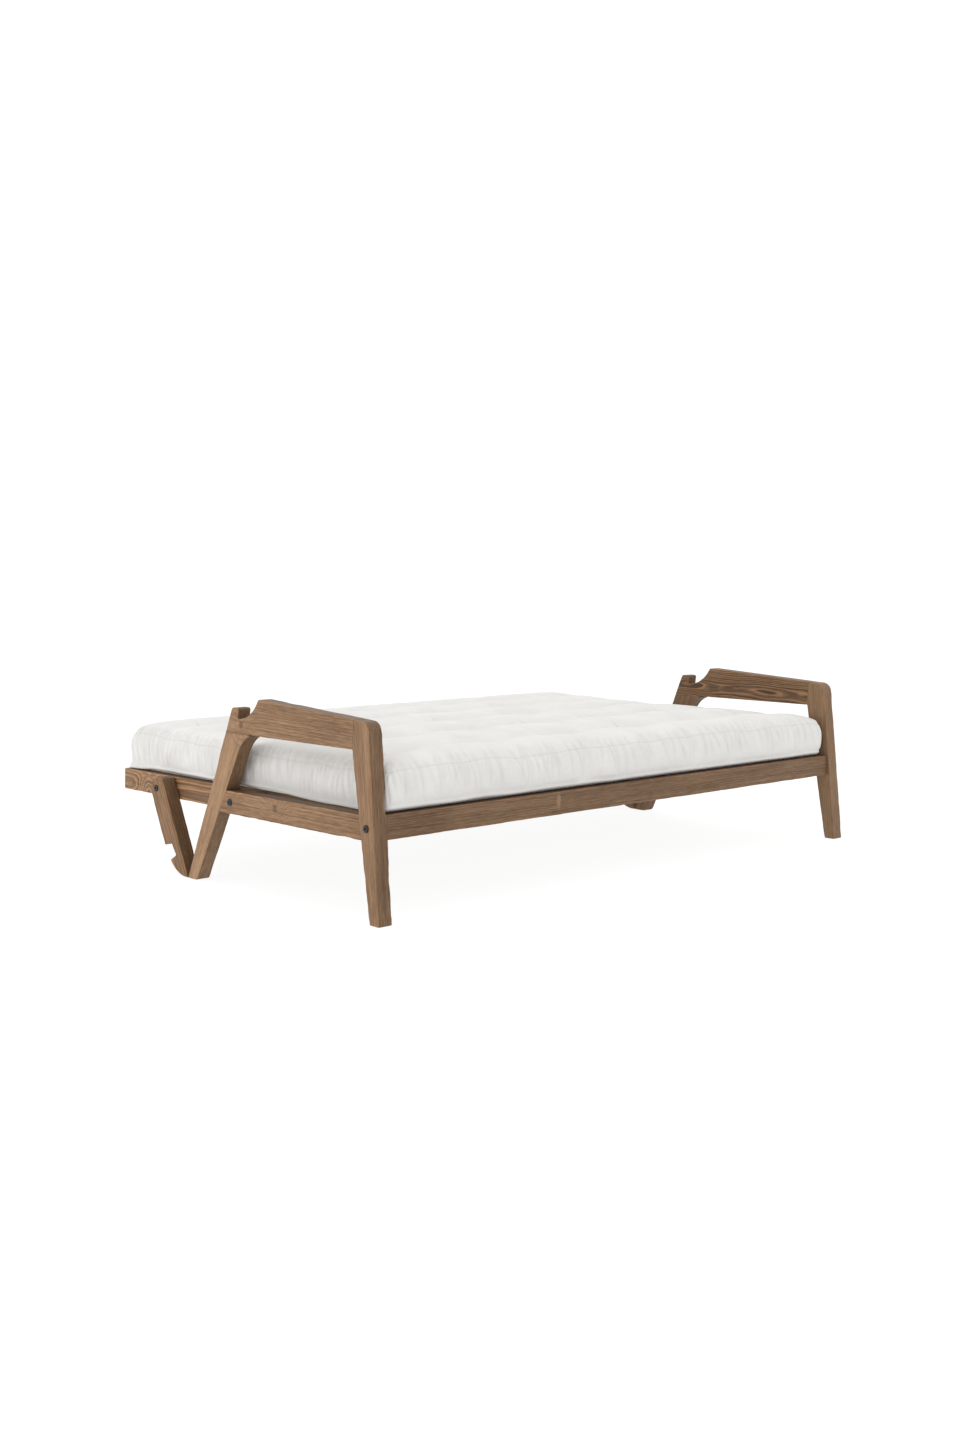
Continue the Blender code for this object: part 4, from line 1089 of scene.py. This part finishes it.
def gather_cover(form):
    """Draws the seams, the gathers along them and the creases at the tufts into the stuffed cover, and marks
    painted shade in the folds and tuft dimples.
    """
    level_layer = form.verts.layers.float["level"]
    climbs = {vert: seam_climb(vert[level_layer], vert.co.to_2d()) for vert in form.verts}
    round_rim = [
        line
        for line in form.edges
        if all(climbs[vert] < GATHER_BAND + 0.02 and vert[level_layer] > ON_BASE for vert in line.verts)
        and abs(climbs[line.verts[0]] - climbs[line.verts[1]]) < 0.3 * line.calc_length()
    ]
    bmesh.ops.subdivide_edges(form, edges=round_rim, cuts=2)
    creased = [
        line
        for line in form.edges
        if all(vert[level_layer] > ON_TOP and near_crease(vert.co.to_2d()) for vert in line.verts)
    ]
    bmesh.ops.subdivide_edges(form, edges=creased, cuts=2, use_grid_fill=True)
    form.normal_update()
    seam_layer = form.verts.layers.float.new("seam")
    fold_shade_layer = form.verts.layers.float.new("fold_shade")
    moves = []
    for vert in form.verts:
        level, plan = vert[level_layer], vert.co.to_2d()
        climb = seam_climb(level, plan)
        place = rim_place(plan)[0]
        seam = max(0.0, 1 - abs(level - SEAM_LEVEL) / SEAM_BAND)
        foot_seam = max(0.0, 1 - abs(level - FOOT_SEAM_LEVEL) / SEAM_BAND)
        # The seam mark carries the thread's tint and painted shade along the stitches, weaker at the foot seam.
        vert[seam_layer] = max(seam, FOOT_SEAM_SHADE * foot_seam)
        # The fold shade is painted shade, strongest where the pleats and creases are deepest and in the tuft
        # dimples.
        folded = shade = 0.0
        if level > FOOT_SEAM_LEVEL and climb < GATHER_BAND:
            folded = pleat_depth(place, climb)
            shade = folded / FULL_SHADE_DEPTH
        if level > ON_TOP:
            crease, dimple = crease_depth(plan)
            folded += crease
            shade += crease / FULL_SHADE_DEPTH + DIMPLE_SHADE * dimple
        vert[fold_shade_layer] = min(1.0, shade)
        moves.append((vert, vert.normal * -(folded + SEAM_GROOVE * seam + SEAM_GROOVE * foot_seam)))
    for vert, move in moves:
        vert.co += move
        if vert[level_layer] < ON_BASE and rim_place(vert.co.to_2d())[1] > FLAT_BASE:
            vert.co.z, drawn = base_height(vert.co.to_2d())
            # Painted shade on the base where a tuft draws it up.
            vert[fold_shade_layer] = BASE_SHADE * drawn
        vert.co.x = max(-HALF_WIDTH - MOST_BULGE, min(HALF_WIDTH + MOST_BULGE, vert.co.x))


def make_mattress():
    form = mattress_form()
    mesh = bpy.data.meshes.new("mattress_cover")
    form.to_mesh(mesh)
    form.free()
    cover = bpy.data.objects.new("mattress_cover", mesh)
    scene.collection.objects.link(cover)
    stuff(cover)
    fine = cover.modifiers.new("fine_cells", "SUBSURF")
    fine.levels = fine.render_levels = 1
    form = bmesh.new()
    form.from_object(cover, bpy.context.evaluated_depsgraph_get())
    bpy.data.objects.remove(cover)
    gather_cover(form)
    piece = finished("mattress", form, make_cotton(), 180)
    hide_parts("mattress_seat", "mattress_fold", "mattress_back")
    start = (0, FOLD_LINE - FOLD_REACH, FOLD_LEVEL)
    end = (0, FOLD_LINE + FOLD_REACH, FOLD_LEVEL)
    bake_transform(piece, "frame", "backrest", start, end)


# Studio


def make_studio():
    material, tree, shader = new_material("pale_floor")
    here = add(tree, "ShaderNodeTexCoord").outputs["Object"]
    patch = grainy(tree, here, 0.7, detail=3.0)
    pale = shades(tree, patch, ((0.3, (0.15, 0.15, 0.15)), (0.7, (0.16, 0.16, 0.16))))
    tree.links.new(pale, shader.inputs["Base Color"])
    shader.inputs["Roughness"].default_value = 0.9
    shader.inputs["Specular IOR Level"].default_value = 0.1
    shader.inputs["Emission Color"].default_value = (1.0, 1.0, 1.0, 1.0)
    shader.inputs["Emission Strength"].default_value = FLOOR_GLOW
    form = bmesh.new()
    bmesh.ops.create_grid(form, x_segments=8, y_segments=8, size=FLOOR_HALF_WIDTH)
    floor = finished("floor", form, material)

    world = bpy.data.worlds.new("studio")
    scene.world = world
    world.use_nodes = True
    sky = world.node_tree
    aim = add(sky, "ShaderNodeTexCoord").outputs["Generated"]
    height = add(sky, "ShaderNodeSeparateXYZ", {0: aim}).outputs["Z"]
    strength = between(sky, height, 0.0, 1.0, SKY_AT_HORIZON, SKY_OVERHEAD, smooth=False)
    sky.nodes["Background"].inputs["Color"].default_value = (1.0, 1.0, 1.0, 1.0)
    sky.links.new(strength, sky.nodes["Background"].inputs["Strength"])

    for name, energy, lit in (("left_window", TIMBER_LAMP, timber), ("left_fill", FILL_LAMP, None)):
        lamp = bpy.data.lights.new(name, "AREA")
        lamp.shape = "RECTANGLE"
        lamp.size, lamp.size_y = LAMP_SIZE
        lamp.energy = energy
        window = bpy.data.objects.new(name, lamp)
        window.location = LAMP_PLACE
        window.rotation_euler = (LAMP_AIM - LAMP_PLACE).to_track_quat("-Z", "Y").to_euler()
        window.visible_camera = window.visible_glossy = False
        window.light_linking.receiver_collection = lit
        scene.collection.objects.link(window)

    camera = bpy.data.cameras.new("camera")
    camera.sensor_fit = "AUTO"
    camera.sensor_width = SENSOR
    camera.lens = FOCAL_PIXELS * SENSOR / IMAGE_HEIGHT
    camera.shift_y = (HORIZON_PIXEL - IMAGE_HEIGHT / 2) / IMAGE_HEIGHT
    viewpoint = bpy.data.objects.new("camera", camera)
    viewpoint.location = CAMERA_PLACE
    viewpoint.rotation_euler = (math.pi / 2, 0, -CAMERA_YAW)
    scene.collection.objects.link(viewpoint)
    scene.camera = viewpoint
    scene.view_settings.view_transform = "Standard"


timber = bpy.data.collections.new("timber")
make_timber()
make_bolts()
make_mattress()
make_studio()
